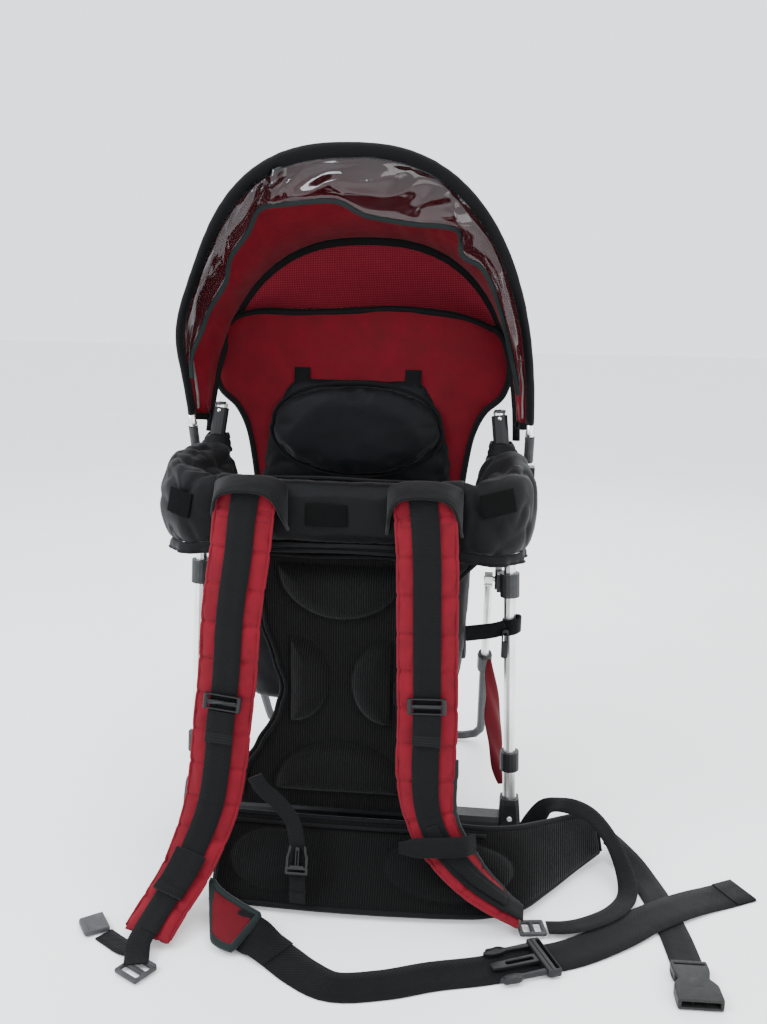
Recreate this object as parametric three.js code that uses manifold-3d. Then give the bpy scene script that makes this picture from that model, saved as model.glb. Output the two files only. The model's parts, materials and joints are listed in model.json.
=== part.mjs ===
// A framed child-carrier backpack: an aluminium frame on a fold-out kickstand, a padded cockpit
// round the child's seat, a folding sun canopy on two bows, and the wearer's harness in front.
// Millimetres, +Z up. +X is the wearer's right as seen from the harness side, and -Y points out of
// the harness side. The origin is on the floor, under the middle of the base cross bar.
import * as THREE from 'three';
import { mergeVertices } from 'three/addons/utils/BufferGeometryUtils.js';
import Module from 'manifold-3d';

const wasm = await Module();
wasm.setup();

// ---------- driving dimensions ----------
const GAP = 0.3;                 // clearance between pieces that touch
const TUBE_R = 8;                // upper side tube
const LOWER_R = 9.5;             // lower side tube
const RAIL_R = 7;                // cockpit rail
const LEG_R = 7;                 // kickstand tube
const BASE_X = 225.5;            // half the side tubes' spacing at the floor
const TUBE_LEAN = 0.042;         // how much each side tube leans inwards per unit height
const COLLAR_Z = [114, 141];     // telescope collar
const JOINT_Z = 127;             // where the upper tube takes over from the lower
const KNUCKLE_Z = 73;            // top of the base knuckle
const POST_TOP = [186, 34, 604]; // top of the side tube, above the cockpit
const SLEEVE_Z = [561, 598];     // black sleeve on the post

const BOW_AXIS = [50, 536];      // y and z of the canopy's hinge line
const FRONT_BOW = { x: 228, rise: 405, lean: 20.2, r: 4.5 };
const MID_BOW = { x: 211, rise: 301, lean: -15.4, r: 3.5 };
const BOW_SQUARENESS = 2.5;      // superellipse exponent of a bow's arch
const SOCKET = { r: 6.5, top: 571 };
const CANOPY_T = 3;              // fabric solids are a few millimetres thick

const PIVOT = [182, 26, 378];    // kickstand hinge
const FOOT_BAR = [330, 10];      // y and z of the kickstand's floor bar
const LEG_SHARE = 0.42;          // share of the leg that is the upper strut
const PAD_T = 14;                // shoulder pad thickness
const PAD_W = 70;                // shoulder pad width
const WEB_W = 30;                // webbing down the shoulder pad
const WEB_T = 2;
const HIP_WEB_W = 50;
const NARROW_WEB_W = 38;
const LOOP_WEB_W = 25;
const STERNUM_WEB_W = 20;
const BELT_T = 20;
const FLAT = 0.45;               // share of a strip's face that the webbing on it covers

// ---------- materials ----------
const paint = (color, roughness, metalness = 0) =>
  new THREE.MeshStandardMaterial({ color, roughness, metalness });
const SILVER = () => paint('#c8c8c3', 0.35, 0.9);
const BLACK_PLASTIC = () => paint('#1d1e20', 0.45);
const GREY_PLASTIC = () => paint('#4a4a4c', 0.5);
const BLACK_NYLON = () => paint('#232428', 0.8);
const BLACK_WEB = () => paint('#1c2020', 0.85);
const BLACK_MESH = () => paint('#18181a', 0.9);
const RED = () => paint('#8a1726', 0.85);
const DARK_RED = () => paint('#5c1219', 0.85);
const CLEAR_VINYL = () => paint('#8d9394', 0.1);

// ---------- geometry helpers ----------
const model = new THREE.Group();
const v = (p) => new THREE.Vector3(...p);
const mirrored = (points, side) => points.map(([x, y, z]) => [side * x, y, z]);

function add(name, geometry, material) {
  const mesh = new THREE.Mesh(geometry, material);
  mesh.name = name;
  model.add(mesh);
}

// Runs make for both sides, with side +1 on the right and -1 on the left.
function bothSides(make) {
  make(1, 'right');
  make(-1, 'left');
}

function signedVolume(geometry) {
  const p = geometry.attributes.position;
  const index = geometry.index.array;
  const corner = [new THREE.Vector3(), new THREE.Vector3(), new THREE.Vector3()];
  let sum = 0;
  for (let i = 0; i < index.length; i += 3) {
    corner.forEach((c, k) => c.fromBufferAttribute(p, index[i + k]));
    sum += corner[0].dot(corner[1].clone().cross(corner[2]));
  }
  return sum / 6;
}

// Closes rings of points into one skin with flat ends, faces outwards.
function loft(rings) {
  const n = rings[0].length;
  const positions = rings.flat().flatMap((p) => [p.x, p.y, p.z]);
  const index = [];
  for (let i = 0; i < rings.length - 1; i++) {
    for (let j = 0; j < n; j++) {
      const a = i * n + j;
      const b = i * n + (j + 1) % n;
      index.push(a, b, b + n, a, b + n, a + n);
    }
  }
  const last = (rings.length - 1) * n;
  for (let j = 1; j < n - 1; j++) {
    index.push(0, j + 1, j);
    index.push(last, last + j, last + j + 1);
  }
  const geometry = new THREE.BufferGeometry();
  geometry.setAttribute('position', new THREE.Float32BufferAttribute(positions, 3));
  geometry.setIndex(index);
  if (signedVolume(geometry) < 0) {
    index.reverse();
    geometry.setIndex(index);
  }
  return geometry;
}

const smooth = (points, count) =>
  new THREE.CatmullRomCurve3(points.map(v), false, 'centripetal').getSpacedPoints(count);

function tangentAt(line, i) {
  const a = line[Math.max(i - 1, 0)];
  const b = line[Math.min(i + 1, line.length - 1)];
  return b.clone().sub(a).normalize();
}

// The directions across a strip and out of its face, at each point of its line.
function framesOf(line, faces) {
  return line.map((_, i) => {
    const along = tangentAt(line, i);
    const across = along.clone().cross(faces[i]).normalize();
    return { across, out: across.clone().cross(along).normalize() };
  });
}

// A flat strip: width across, thickness along the face direction, at each point of a line.
function strip(line, frames, width, thickness) {
  return loft(line.map((centre, i) => {
    const { across, out } = frames[i];
    const w = (Array.isArray(width) ? width[i] : width) / 2;
    const t = thickness / 2;
    return [[-w, -t], [w, -t], [w, t], [w * FLAT, t], [-w * FLAT, t], [-w, t]].map(([a, o]) =>
      centre.clone().addScaledVector(across, a).addScaledVector(out, o));
  }));
}

// A slab between two edges, with chamfered long edges.
function slab(edgeA, edgeB, thickness) {
  const a = edgeA.map(v);
  const b = edgeB.map(v);
  const middle = a.map((p, i) => p.clone().add(b[i]).multiplyScalar(0.5));
  return loft(middle.map((centre, i) => {
    const across = b[i].clone().sub(a[i]);
    const w = across.length() / 2;
    across.normalize();
    const out = across.clone().cross(tangentAt(middle, i)).normalize();
    const t = thickness / 2;
    const c = Math.min(t * 0.7, w * 0.4);
    const outline = [[-w + c, -t], [w - c, -t], [w, -t + c], [w, t - c],
      [w - c, t], [-w + c, t], [-w, t - c], [-w, -t + c]];
    return outline.map(([s, o]) =>
      centre.clone().addScaledVector(across, s).addScaledVector(out, o));
  }));
}

// A soft roll: superellipse rings across a level line. sizes holds [width, height] per point.
function roll(line, sizes, sides = 14, squareness = 2.6) {
  return loft(line.map((centre, i) => {
    const along = tangentAt(line, i);
    const across = new THREE.Vector3(along.y, -along.x, 0).normalize();
    const [w, h] = sizes[i];
    return Array.from({ length: sides }, (_, k) => {
      const a = (2 * Math.PI * k) / sides;
      const bend = (t) => Math.sign(t) * Math.abs(t) ** (2 / squareness);
      const at = centre.clone().addScaledVector(across, (w / 2) * bend(Math.cos(a)));
      at.z += (h / 2) * bend(Math.sin(a));
      return at;
    });
  }));
}

function disc(radius, sides) {
  const shape = new THREE.Shape();
  for (let k = 0; k < sides; k++) {
    const a = (2 * Math.PI * k) / sides;
    const to = [radius * Math.cos(a), radius * Math.sin(a)];
    if (k === 0) shape.moveTo(...to);
    else shape.lineTo(...to);
  }
  shape.closePath();
  return shape;
}

function tube(curve, radius, steps, sides = 12) {
  return new THREE.ExtrudeGeometry(disc(radius, sides), { steps, extrudePath: curve });
}

const straight = (a, b) => new THREE.LineCurve3(v(a), v(b));
const rod = (a, b, radius, sides = 12) => tube(straight(a, b), radius, 1, sides);

function joinedCurve(...parts) {
  const path = new THREE.CurvePath();
  parts.forEach((part) => path.add(part));
  return path;
}

function box(size, centre) {
  return new THREE.BoxGeometry(...size).translate(...centre);
}

// A rounded outline in X and Z pushed along Y, from y0 to y1.
function upright(outline, y0, y1) {
  const shape = new THREE.Shape(outline.map(([x, z]) => new THREE.Vector2(x, z)));
  const geometry = new THREE.ExtrudeGeometry(shape, { depth: y1 - y0, bevelEnabled: false });
  return geometry.rotateX(Math.PI / 2).translate(0, y1, 0);
}

function solid(geometry) {
  const bare = geometry.clone();
  bare.deleteAttribute('normal');
  bare.deleteAttribute('uv');
  const merged = mergeVertices(bare, 1e-4);
  return new wasm.Manifold(new wasm.Mesh({
    numProp: 3,
    vertProperties: new Float32Array(merged.attributes.position.array),
    triVerts: new Uint32Array(merged.index.array),
  }));
}

function combine(base, others, how) {
  let result = solid(base);
  for (const other of others) result = result[how](solid(other));
  const mesh = result.getMesh();
  const geometry = new THREE.BufferGeometry();
  geometry.setAttribute('position', new THREE.Float32BufferAttribute(mesh.vertProperties, 3));
  geometry.setIndex([...mesh.triVerts]);
  return geometry;
}

const carve = (base, ...tools) => combine(base, tools, 'subtract');
const join = (base, ...pieces) => combine(base, pieces, 'add');

// ---------- side frame ----------
const sideX = (z) => BASE_X - TUBE_LEAN * z;
const onSide = (side, z) => [side * sideX(z), 0, z];

function sideTubeCurve(side) {
  const bend = new THREE.CubicBezierCurve3(
    v(onSide(side, 430)),
    v(onSide(side, 480)),
    v([side * 197, 12, 510]),
    v([side * 192, 24, 552]),
  );
  const post = straight([side * 192, 24, 552], mirrored([POST_TOP], side)[0]);
  return joinedCurve(straight(onSide(side, JOINT_Z + GAP), onSide(side, 430)), bend, post);
}

const sideTube = (side, clearance = 0) => tube(sideTubeCurve(side), TUBE_R + clearance, 16, 10);
const lowerTube = (side, clearance = 0) =>
  rod(onSide(side, 24 - clearance), onSide(side, JOINT_Z), LOWER_R + clearance, 14);

function makeSideFrame(side, name) {
  add(`side_tube_${name}`, sideTube(side), SILVER());
  add(`lower_tube_${name}`, lowerTube(side), SILVER());
  const collar = rod(onSide(side, COLLAR_Z[0]), onSide(side, COLLAR_Z[1]), 13, 16);
  add(`collar_${name}`, carve(collar, sideTube(side, GAP), lowerTube(side, GAP)), BLACK_PLASTIC());
  const sections = [[0, 15, 20], [6, 16, 21], [46, 14.5, 18], [66, 13.5, 15], [KNUCKLE_Z, 12.5, 13]];
  const knuckle = loft(sections.map(([z, halfX, halfY]) => {
    const c = 5;
    const outline = [[-halfX + c, -halfY], [halfX - c, -halfY], [halfX, -halfY + c],
      [halfX, halfY - c], [halfX - c, halfY], [-halfX + c, halfY], [-halfX, halfY - c],
      [-halfX, -halfY + c]];
    return outline.map(([x, y]) => new THREE.Vector3(side * sideX(z) + x, y, z));
  }));
  add(`knuckle_${name}`, carve(knuckle, lowerTube(side, GAP)), BLACK_PLASTIC());
  const post = new THREE.Vector3().subVectors(v(POST_TOP), v([192, 24, 552]));
  const atHeight = (z) => {
    const p = v([192, 24, 552]).addScaledVector(post, (z - 552) / post.z);
    return [side * p.x, p.y, p.z];
  };
  const sleeve = rod(atHeight(SLEEVE_Z[0]), atHeight(SLEEVE_Z[1]), 10.5, 14);
  add(`post_sleeve_${name}`, carve(sleeve, sideTube(side, GAP)), BLACK_PLASTIC());
}

function makeBase() {
  const half = sideX(0) - 15 - 1.5;
  const outline = [[-14, 0], [14, 0], [17, 4], [17, 40], [12, 46], [-12, 46], [-16, 40], [-16, 4]];
  const bar = loft([-half, half].map((x) => outline.map(([y, z]) => new THREE.Vector3(x, y, z))));
  const xs = [-110, -60, 0, 60, 110];
  const shelf = slab(xs.map((x) => [x, -10, 22]), xs.map((x) => [x, -148 + Math.abs(x) * 0.06, 16]), 8);
  add('cross_bar', join(bar, shelf), BLACK_PLASTIC());
}

// ---------- cockpit rail and bolster ----------
const RAIL_X = 219;
const RAIL_Z = 498;
const RAIL_END_Y = 38;

function railCurve(end = RAIL_END_Y) {
  const run = (side) => straight([side * RAIL_X, end, RAIL_Z], [side * RAIL_X, -60, RAIL_Z]);
  const corner = (side) => new THREE.CubicBezierCurve3(
    v([side * RAIL_X, -60, RAIL_Z]),
    v([side * RAIL_X, -108, RAIL_Z]),
    v([side * 198, -129, RAIL_Z]),
    v([side * 150, -129, RAIL_Z]),
  );
  const back = (curve) => new THREE.CubicBezierCurve3(curve.v3, curve.v2, curve.v1, curve.v0);
  const away = run(1);
  return joinedCurve(
    run(-1),
    corner(-1),
    straight([-150, -129, RAIL_Z], [150, -129, RAIL_Z]),
    back(corner(1)),
    new THREE.LineCurve3(away.v2, away.v1),
  );
}

const LOBE = [[155, -127, 494], [179, -121, 494], [201, -96, 495], [207, -50, 496],
  [207, -5, 497], [205, 34, 498]];
const LOBE_SIZE = [[50, 86], [60, 104], [66, 120], [68, 126], [66, 124], [54, 104]];

function makeCockpit() {
  const rail = tube(railCurve(), RAIL_R, 34, 8);
  add('cockpit_rail', rail, SILVER());
  const railSpace = tube(railCurve(RAIL_END_Y + 4), RAIL_R + 0.9, 34, 8);
  bothSides((side, name) => {
    const line = smooth(mirrored(LOBE, side), 12);
    const sizes = line.map((_, i) => {
      const t = (i / (line.length - 1)) * (LOBE_SIZE.length - 1);
      const k = Math.min(Math.floor(t), LOBE_SIZE.length - 2);
      return [0, 1].map((j) => THREE.MathUtils.lerp(LOBE_SIZE[k][j], LOBE_SIZE[k + 1][j], t - k));
    });
    const lobe = roll(line, sizes);
    add(`bolster_${name}`, carve(lobe, railSpace, sideTube(side, GAP)), BLACK_NYLON());
  });
  const front = [-149.5, -75, 0, 75, 149.5].map((x) => v([x, -129, 498]));
  const sizes = [[46, 84], [46, 86], [46, 86], [46, 86], [46, 84]];
  add('bolster_front', carve(roll(front, sizes, 16, 3.4), railSpace), BLACK_NYLON());
}

// ---------- canopy ----------
// Points along a bow, from its right foot over the top to its left foot.
function bowPoints(bow, count, inset = 0, from = 0) {
  const lean = THREE.MathUtils.degToRad(bow.lean);
  return Array.from({ length: count + 1 }, (_, i) => {
    const a = THREE.MathUtils.lerp(from, Math.PI - from, i / count);
    const x = Math.sign(Math.cos(a)) * Math.abs(Math.cos(a)) ** (2 / BOW_SQUARENESS);
    const h = Math.max(Math.sin(a), 0) ** (2 / BOW_SQUARENESS);
    const rise = (bow.rise - inset) * h;
    return [
      (bow.x - inset) * x,
      BOW_AXIS[0] - rise * Math.sin(lean),
      BOW_AXIS[1] + rise * Math.cos(lean),
    ];
  });
}

function bowCurve(bow, startHeight) {
  const points = bowPoints(bow, 40).filter(([, , z]) => z > startHeight + 2);
  const foot = (side) => {
    const lean = THREE.MathUtils.degToRad(bow.lean);
    const rise = (startHeight - BOW_AXIS[1]) / Math.cos(lean);
    return [side * bow.x, BOW_AXIS[0] - rise * Math.sin(lean), startHeight];
  };
  return new THREE.CatmullRomCurve3([foot(1), ...points, foot(-1)].map(v), false, 'centripetal');
}

// The seat back's top edge, which the rear canopy panel is sewn to.
const BACK_TOP = [[192, 99, 672], [180, 101, 702], [140, 103, 726], [60, 104, 732], [0, 104, 731],
  [-60, 104, 732], [-140, 103, 726], [-180, 101, 702], [-192, 99, 672]];

function resampled(points, count) {
  return smooth(points, count).map((p) => [p.x, p.y, p.z]);
}

function makeCanopy() {
  add('front_bow', tube(bowCurve(FRONT_BOW, SOCKET.top + GAP), FRONT_BOW.r, 30, 8), BLACK_NYLON());
  add('mid_bow', tube(bowCurve(MID_BOW, BOW_AXIS[1] + 1), MID_BOW.r, 26, 8), BLACK_NYLON());
  bothSides((side, name) => {
    const lean = Math.tan(THREE.MathUtils.degToRad(FRONT_BOW.lean));
    const top = [side * FRONT_BOW.x, BOW_AXIS[0] - (SOCKET.top - BOW_AXIS[1]) * lean, SOCKET.top];
    const socket = rod([side * FRONT_BOW.x, ...BOW_AXIS], top, SOCKET.r, 14);
    add(`bow_socket_${name}`, socket, GREY_PLASTIC());
    const bracket = box([34, 24, 20], [side * 220, 51, 519]);
    const railHole = rod([side * RAIL_X, 30, RAIL_Z], [side * RAIL_X, 60, RAIL_Z], RAIL_R + GAP);
    add(`bow_bracket_${name}`, carve(bracket, railHole), BLACK_PLASTIC());
  });
  const count = 22;
  const front = bowPoints(FRONT_BOW, count, 7, 0.09).map(([x, y, z]) => [x, y + 9, z]);
  const middle = bowPoints(MID_BOW, count, -6, 0.12).map(([x, y, z]) => [x, y - 5, z + 3]);
  add('canopy_front', slab(front, middle, CANOPY_T), RED());
  const meshTop = bowPoints(MID_BOW, count, 2, 0.6).map(([x, y, z]) => [x, y + 13, z]);
  const meshFoot = resampled(BACK_TOP, count).map(([x, y, z]) => [x * 0.985, y + 17, z + 3]);
  add('canopy_rear', slab(meshTop, meshFoot, CANOPY_T), DARK_RED());
  const flapOuter = bowPoints(FRONT_BOW, count, 8, 0.3).map(([x, y, z]) => [x, y - 1, z]);
  const flapInner = bowPoints(FRONT_BOW, count, 52, 0.3).map(([x, y, z]) => [x, y - 3, z]);
  add('rain_flap', slab(flapOuter, flapInner, CANOPY_T), CLEAR_VINYL());
}

// ---------- child's seat ----------
function seatBackOutline() {
  const half = [[0, 728], [70, 729], [140, 724], [176, 704], [188, 676], [190, 648], [182, 618],
    [160, 596], [148, 566], [140, 520], [134, 456]];
  const left = half.slice(1).reverse().map(([x, z]) => [-x, z]);
  return [...left, ...half];
}

function makeSeat() {
  add('seat_back', upright(seatBackOutline(), 96, 107), RED());
  const pillow = [[-96, 638], [96, 638], [120, 600], [138, 540], [140, 486], [-140, 486],
    [-138, 540], [-120, 600]];
  add('head_pillow', upright(pillow, 66, 95.5), BLACK_NYLON());
  // A bucket in side view (Y, Z), pushed along X, hollowed, with a leg opening through both sides.
  const side = (points, half) => {
    const shape = new THREE.Shape(points.map(([y, z]) => new THREE.Vector2(y, z)));
    const geometry = new THREE.ExtrudeGeometry(shape, { depth: 2 * half, bevelEnabled: false });
    // The shape's x becomes Y, its y becomes Z, and the push becomes X.
    geometry.applyMatrix4(new THREE.Matrix4().makeBasis(
      new THREE.Vector3(0, 1, 0),
      new THREE.Vector3(0, 0, 1),
      new THREE.Vector3(1, 0, 0),
    ));
    return geometry.translate(-half, 0, 0);
  };
  const outer = side([[-80, 452], [-84, 300], [-50, 214], [60, 206], [94, 260], [95, 452]], 152);
  const inner = side([[-73, 470], [-77, 302], [-46, 221], [57, 213], [87, 262], [88, 470]], 145);
  const legs = rod([-170, 14, 318], [170, 14, 318], 46, 20);
  add('seat_pouch', carve(outer, inner, legs), BLACK_NYLON());
  const belts = [-1, 1].map((sign) => {
    const route = [[58, 83, 440], [56, 79, 380], [50, 66, 310], [30, 42, 264], [2, 30, 248]];
    const line = smooth(mirrored(route, sign), 10);
    return strip(line, framesOf(line, line.map(() => v([0, -0.8, 0.6]))), 20, 4);
  });
  add('child_harness', join(...belts), BLACK_WEB());
}

// ---------- kickstand ----------
function makeKickstand() {
  const [pivotX, pivotY, pivotZ] = PIVOT;
  const down = v([0, FOOT_BAR[0] - pivotY, FOOT_BAR[1] - pivotZ]);
  const length = down.length();
  down.normalize();
  const along = (side, s) => {
    const p = v([side * pivotX, pivotY, pivotZ]).addScaledVector(down, s);
    return [p.x, p.y, p.z];
  };
  const strut = length * LEG_SHARE;
  const cornerR = 40;
  const corner = (side) => new THREE.QuadraticBezierCurve3(
    v(along(side, length - cornerR)),
    v(along(side, length)),
    v([side * (pivotX - cornerR), ...FOOT_BAR]),
  );
  const right = corner(1);
  const hoopCurve = joinedCurve(
    straight(along(-1, strut + 8), along(-1, length - cornerR)),
    corner(-1),
    straight([-(pivotX - cornerR), ...FOOT_BAR], [pivotX - cornerR, ...FOOT_BAR]),
    new THREE.QuadraticBezierCurve3(right.v2, right.v1, right.v0),
    straight(along(1, length - cornerR), along(1, strut + 8)),
  );
  const forks = [-1, 1].map((side) => rod(along(side, strut + GAP), along(side, strut + 40), 11, 10));
  add('kick_hoop', join(tube(hoopCurve, LEG_R, 40, 8), ...forks), GREY_PLASTIC());
  bothSides((side, name) => {
    const pinSpan = (clearance) =>
      rod([side * 175, pivotY, pivotZ], [side * 200, pivotY, pivotZ], 4 + clearance, 14);
    const eye = rod([side * 176, pivotY, pivotZ], [side * 187, pivotY, pivotZ], 11, 16);
    const leg = join(rod(along(side, 6), along(side, strut), LEG_R - 1.5, 10), eye);
    add(`kick_leg_${name}`, carve(leg, pinSpan(0.4)), SILVER());
    add(`pivot_pin_${name}`, pinSpan(0), SILVER());
    const cheek = rod([side * 190, pivotY, pivotZ], [side * 199, pivotY, pivotZ], 15, 18);
    const clamp = rod(onSide(side, pivotZ - 16), onSide(side, pivotZ + 16), 13, 16);
    const arm = box([13, 26, 24], [side * 199, 14, pivotZ]);
    const bracket = carve(join(cheek, clamp, arm), sideTube(side, GAP), pinSpan(GAP));
    add(`pivot_bracket_${name}`, bracket, GREY_PLASTIC());
    const grip = rod([side * 96, ...FOOT_BAR], [side * 128, ...FOOT_BAR], 10, 14);
    const bar = rod([-140, ...FOOT_BAR], [140, ...FOOT_BAR], LEG_R + 0.9, 12);
    add(`kick_foot_${name}`, carve(grip, bar), BLACK_PLASTIC());
    const cloth = smooth(mirrored([[195, 118, 214], [200, 88, 176], [206, 48, 120], [212, 28, 78]],
      side), 8);
    const widths = cloth.map((_, i) => 8 + 30 * Math.sin((Math.PI * (i + 0.6)) / 9.2));
    const frames = framesOf(cloth, cloth.map(() => v([side * 0.92, -0.39, 0])));
    add(`gusset_${name}`, strip(cloth, frames, widths, 2), RED());
  });
}

// ---------- wearer's harness ----------
function makeBackPanel() {
  const half = [[0, 452], [100, 450], [112, 420], [104, 350], [88, 300], [76, 262], [86, 222],
    [108, 184], [128, 150], [136, 108], [0, 98]];
  const left = half.slice(1, -1).reverse().map(([x, z]) => [-x, z]);
  const sheet = upright([...half, ...left], -112, -101);
  const pod = (x, z, halfX, halfZ, from = 0, to = 2 * Math.PI) => {
    const ring = (scale, y) => Array.from({ length: 16 }, (_, k) => {
      const a = THREE.MathUtils.lerp(from, to, k / 16);
      return new THREE.Vector3(x + scale * halfX * Math.cos(a), y, z + scale * halfZ * Math.sin(a));
    });
    return loft([ring(1, -108), ring(0.94, -116), ring(0.7, -122)]);
  };
  const pods = [pod(0, 392, 72, 34), pod(0, 152, 80, 32), pod(-42, 272, 26, 50),
    pod(42, 272, 26, 50)];
  add('back_panel', join(sheet, ...pods), BLACK_MESH());
  add('back_board', box([150, 4, 340], [0, -98, 290]), BLACK_PLASTIC());
}

function makeHipBelt() {
  const xs = [-150, -100, -50, 0, 50, 100, 150];
  const bow = (x) => 6 - 6 * (x / 150) ** 2;
  const top = xs.map((x) => [x, -128 - bow(x) * 0.5, 92]);
  const bottom = xs.map((x) => [x, -196 - bow(x), 9]);
  const wingTop = [[190, -126, 90], [225, -112, 86], [262, -80, 78], [303, -36, 66], [338, 0, 54]];
  const wingFoot = [[190, -190, 9], [235, -168, 9], [268, -128, 9], [308, -72, 9], [345, -22, 9]];
  add('hip_belt', slab([...top, ...wingTop], [...bottom, ...wingFoot], BELT_T), BLACK_MESH());
  const foldTop = [[-143, -208, 41], [-130, -220, 36], [-104, -232, 28], [-76, -243, 22]];
  const foldFoot = [[-126, -266, 9], [-122, -276, 8.5], [-112, -284, 8.5], [-98, -290, 8.5]];
  add('hip_wing_left', slab(foldTop, foldFoot, 10), RED());
}

const PAD_ROUTE = {
  left: [[-101, -172, 532], [-106, -179, 495], [-110, -181, 455], [-121, -181, 379],
    [-127, -181, 300], [-134, -181, 241], [-139.5, -181, 188], [-148, -183, 134],
    [-162, -192, 88], [-176, -217, 52], [-190, -247, 30], [-201, -284, 13]],
  right: [[101, -172, 532], [106, -179, 495], [109, -181, 455], [111, -181, 386],
    [113, -181, 309], [114.6, -181, 252], [114, -182, 200], [118, -185, 150],
    [130, -190, 116], [153, -196, 86], [180, -200, 58], [209, -201, 36], [233, -196, 17]],
};
const PAD_STATIONS = 24;

function padLine(name) {
  const line = smooth(PAD_ROUTE[name], PAD_STATIONS);
  const faces = line.map((p) => {
    const lying = 1 - THREE.MathUtils.smoothstep(p.z, 0, 170);
    return v([0, -1 + 0.7 * lying, lying]).normalize();
  });
  return { line, frames: framesOf(line, faces) };
}

function makeShoulderStraps() {
  bothSides((side, name) => {
    const { line, frames } = padLine(name);
    const taper = (z) => (name === 'left' ? 0.14 : 0.5) * THREE.MathUtils.clamp((190 - z) / 170, 0, 1);
    const widths = line.map((p) => PAD_W * (1 - taper(p.z)));
    add(`shoulder_pad_${name}`, strip(line, frames, widths, PAD_T), RED());
    const height = PAD_T / 2 + WEB_T / 2 + 1.6;
    const web = line.map((p, i) => p.clone().addScaledVector(frames[i].out, height));
    const webWidths = line.map((p) => WEB_W * (1 - taper(p.z) * (name === 'left' ? 0.3 : 0.5)));
    add(`strap_webbing_${name}`, strip(web, frames, webWidths, WEB_T), BLACK_WEB());
    const high = v(PAD_ROUTE[name][4]);
    const low = v(PAD_ROUTE[name][5]);
    const slope = Math.atan2(high.x - low.x, high.z - low.z);
    const centre = high.clone().add(low).multiplyScalar(0.5);
    const front = centre.y - height - WEB_T / 2 - 2.8;
    const plate = box([46, 4, 20], [0, 0, 0]);
    const slots = [-1, 1].map((s) => box([33, 9, 4.6], [0, 0, s * 5]));
    const slider = carve(plate, ...slots).rotateY(slope);
    add(`strap_slider_${name}`, slider.translate(centre.x, front, centre.z), BLACK_PLASTIC());
  });
}

// ---------- free webbing, and what is on it ----------
const WIDE_ROUTE = [[-68, -272, 8], [-42, -287, 3], [-13, -309, 1.5], [24, -328, 1.5],
  [80, -318, 1.5], [133, -297, 1.5], [192, -279, 1.5], [246, -256, 1.5], [293, -236, 1.8],
  [350, -197, 3.4], [388, -164, 4.8], [426, -136, 4.8], [458, -114, 3], [490, -96, 1.5],
  [526, -76, 1.5]];
const NARROW_ROUTE = [[357, -14, 30], [366, -18, 24], [385, -34, 10], [399, -64, 2],
  [409, -104, 1.5], [416, -150, 1.5], [421, -190, 1.5], [424, -232, 1.5], [424, -246, 3]];
const LOOP_ROUTE = [[247, -31, 42], [257, -28, 58], [273, -31, 78], [298, -44, 88],
  [328, -50, 80], [354, -60, 54], [371, -84, 24], [373, -116, 9], [354, -152, 7.5],
  [318, -182, 7.5], [290, -196, 8.5], [267, -200, 9]];
const STERNUM_ROUTE = [[-95, -190, 181], [-88, -187, 162], [-70, -187, 139], [-59, -190, 116],
  [-54, -197, 90], [-52, -205, 66], [-51, -211, 46], [-50, -214, 26]];
const TAIL_ROUTE = [[-206, -297, 5], [-222, -294, 2.2], [-240, -283, 1.6], [-258, -271, 1.6]];

function webbing(name, route, face, width, count) {
  const line = smooth(route, count);
  const faces = line.map((_, i) => face(i / count).normalize());
  add(name, strip(line, framesOf(line, faces), width, WEB_T), BLACK_WEB());
}

// Places a flat buckle lying on the floor plane, long side turned by an angle about +Z.
function lay(geometry, angle, centre) {
  return geometry.rotateZ(THREE.MathUtils.degToRad(angle)).translate(...centre);
}

function makeHipWebbing() {
  const up = () => v([0, 0, 1]);
  webbing('hip_webbing_wide', WIDE_ROUTE, up, HIP_WEB_W, 36);
  webbing('hip_webbing_narrow', NARROW_ROUTE, up, NARROW_WEB_W, 20);
  // The buckle's prongs point back along the webbing, and its bar lies across it.
  const bar = box([14, 62, 9], [24, 0, 0]);
  const prongs = [-24, 0, 24].map((y) => box([62, y === 0 ? 12 : 7, 7], [-12, y, 0]));
  add('buckle_male', lay(join(bar, ...prongs), 24, [239, -264, 7.6]), BLACK_PLASTIC());
  const body = box([44, 50, 14], [10, 0, 0]);
  const neck = box([26, 42, 10], [-22, 0, 0]);
  const mouth = box([36, 42, 8], [20, 0, 0]);
  add('buckle_female', lay(carve(join(body, neck), mouth), -88, [424, -284, 8]), GREY_PLASTIC());
}

function makeStrapWebbing() {
  const tilt = (t) => {
    const standing = 1 - THREE.MathUtils.smoothstep(t, 0.35, 0.6);
    return v([0.4 * standing, -0.6 * standing, 0.9]);
  };
  webbing('strap_loop_right', LOOP_ROUTE, tilt, LOOP_WEB_W, 34);
  const ladder = (tall) => join(
    box([5, tall, 5], [-14, 0, 0]),
    box([5, tall, 5], [14, 0, 0]),
    box([5, tall, 5], [0, 0, 0]),
    box([33, 4, 5], [0, tall / 2 - 2, 0]),
    box([33, 4, 5], [0, 2 - tall / 2, 0]),
  );
  add('strap_adjuster_right', lay(ladder(28), 190, [248, -201, 7]), BLACK_PLASTIC());
  add('strap_adjuster_left', lay(ladder(36), 60, [-197, -332, 5]), BLACK_PLASTIC());
  webbing('strap_tail_left', TAIL_ROUTE, () => v([0, 0, 1]), LOOP_WEB_W, 10);
  add('strap_clip_left', lay(box([26, 30, 8], [0, 0, 0]), 36, [-274.5, -259, 5]), GREY_PLASTIC());
  webbing('sternum_webbing', STERNUM_ROUTE, () => v([-0.2, -1, 0.3]), STERNUM_WEB_W, 20);
  const buckle = box([28, 6, 36], [0, 0, 0]).rotateX(-0.32).translate(-52, -207.5, 78.5);
  add('sternum_buckle', buckle, BLACK_PLASTIC());
}

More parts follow.
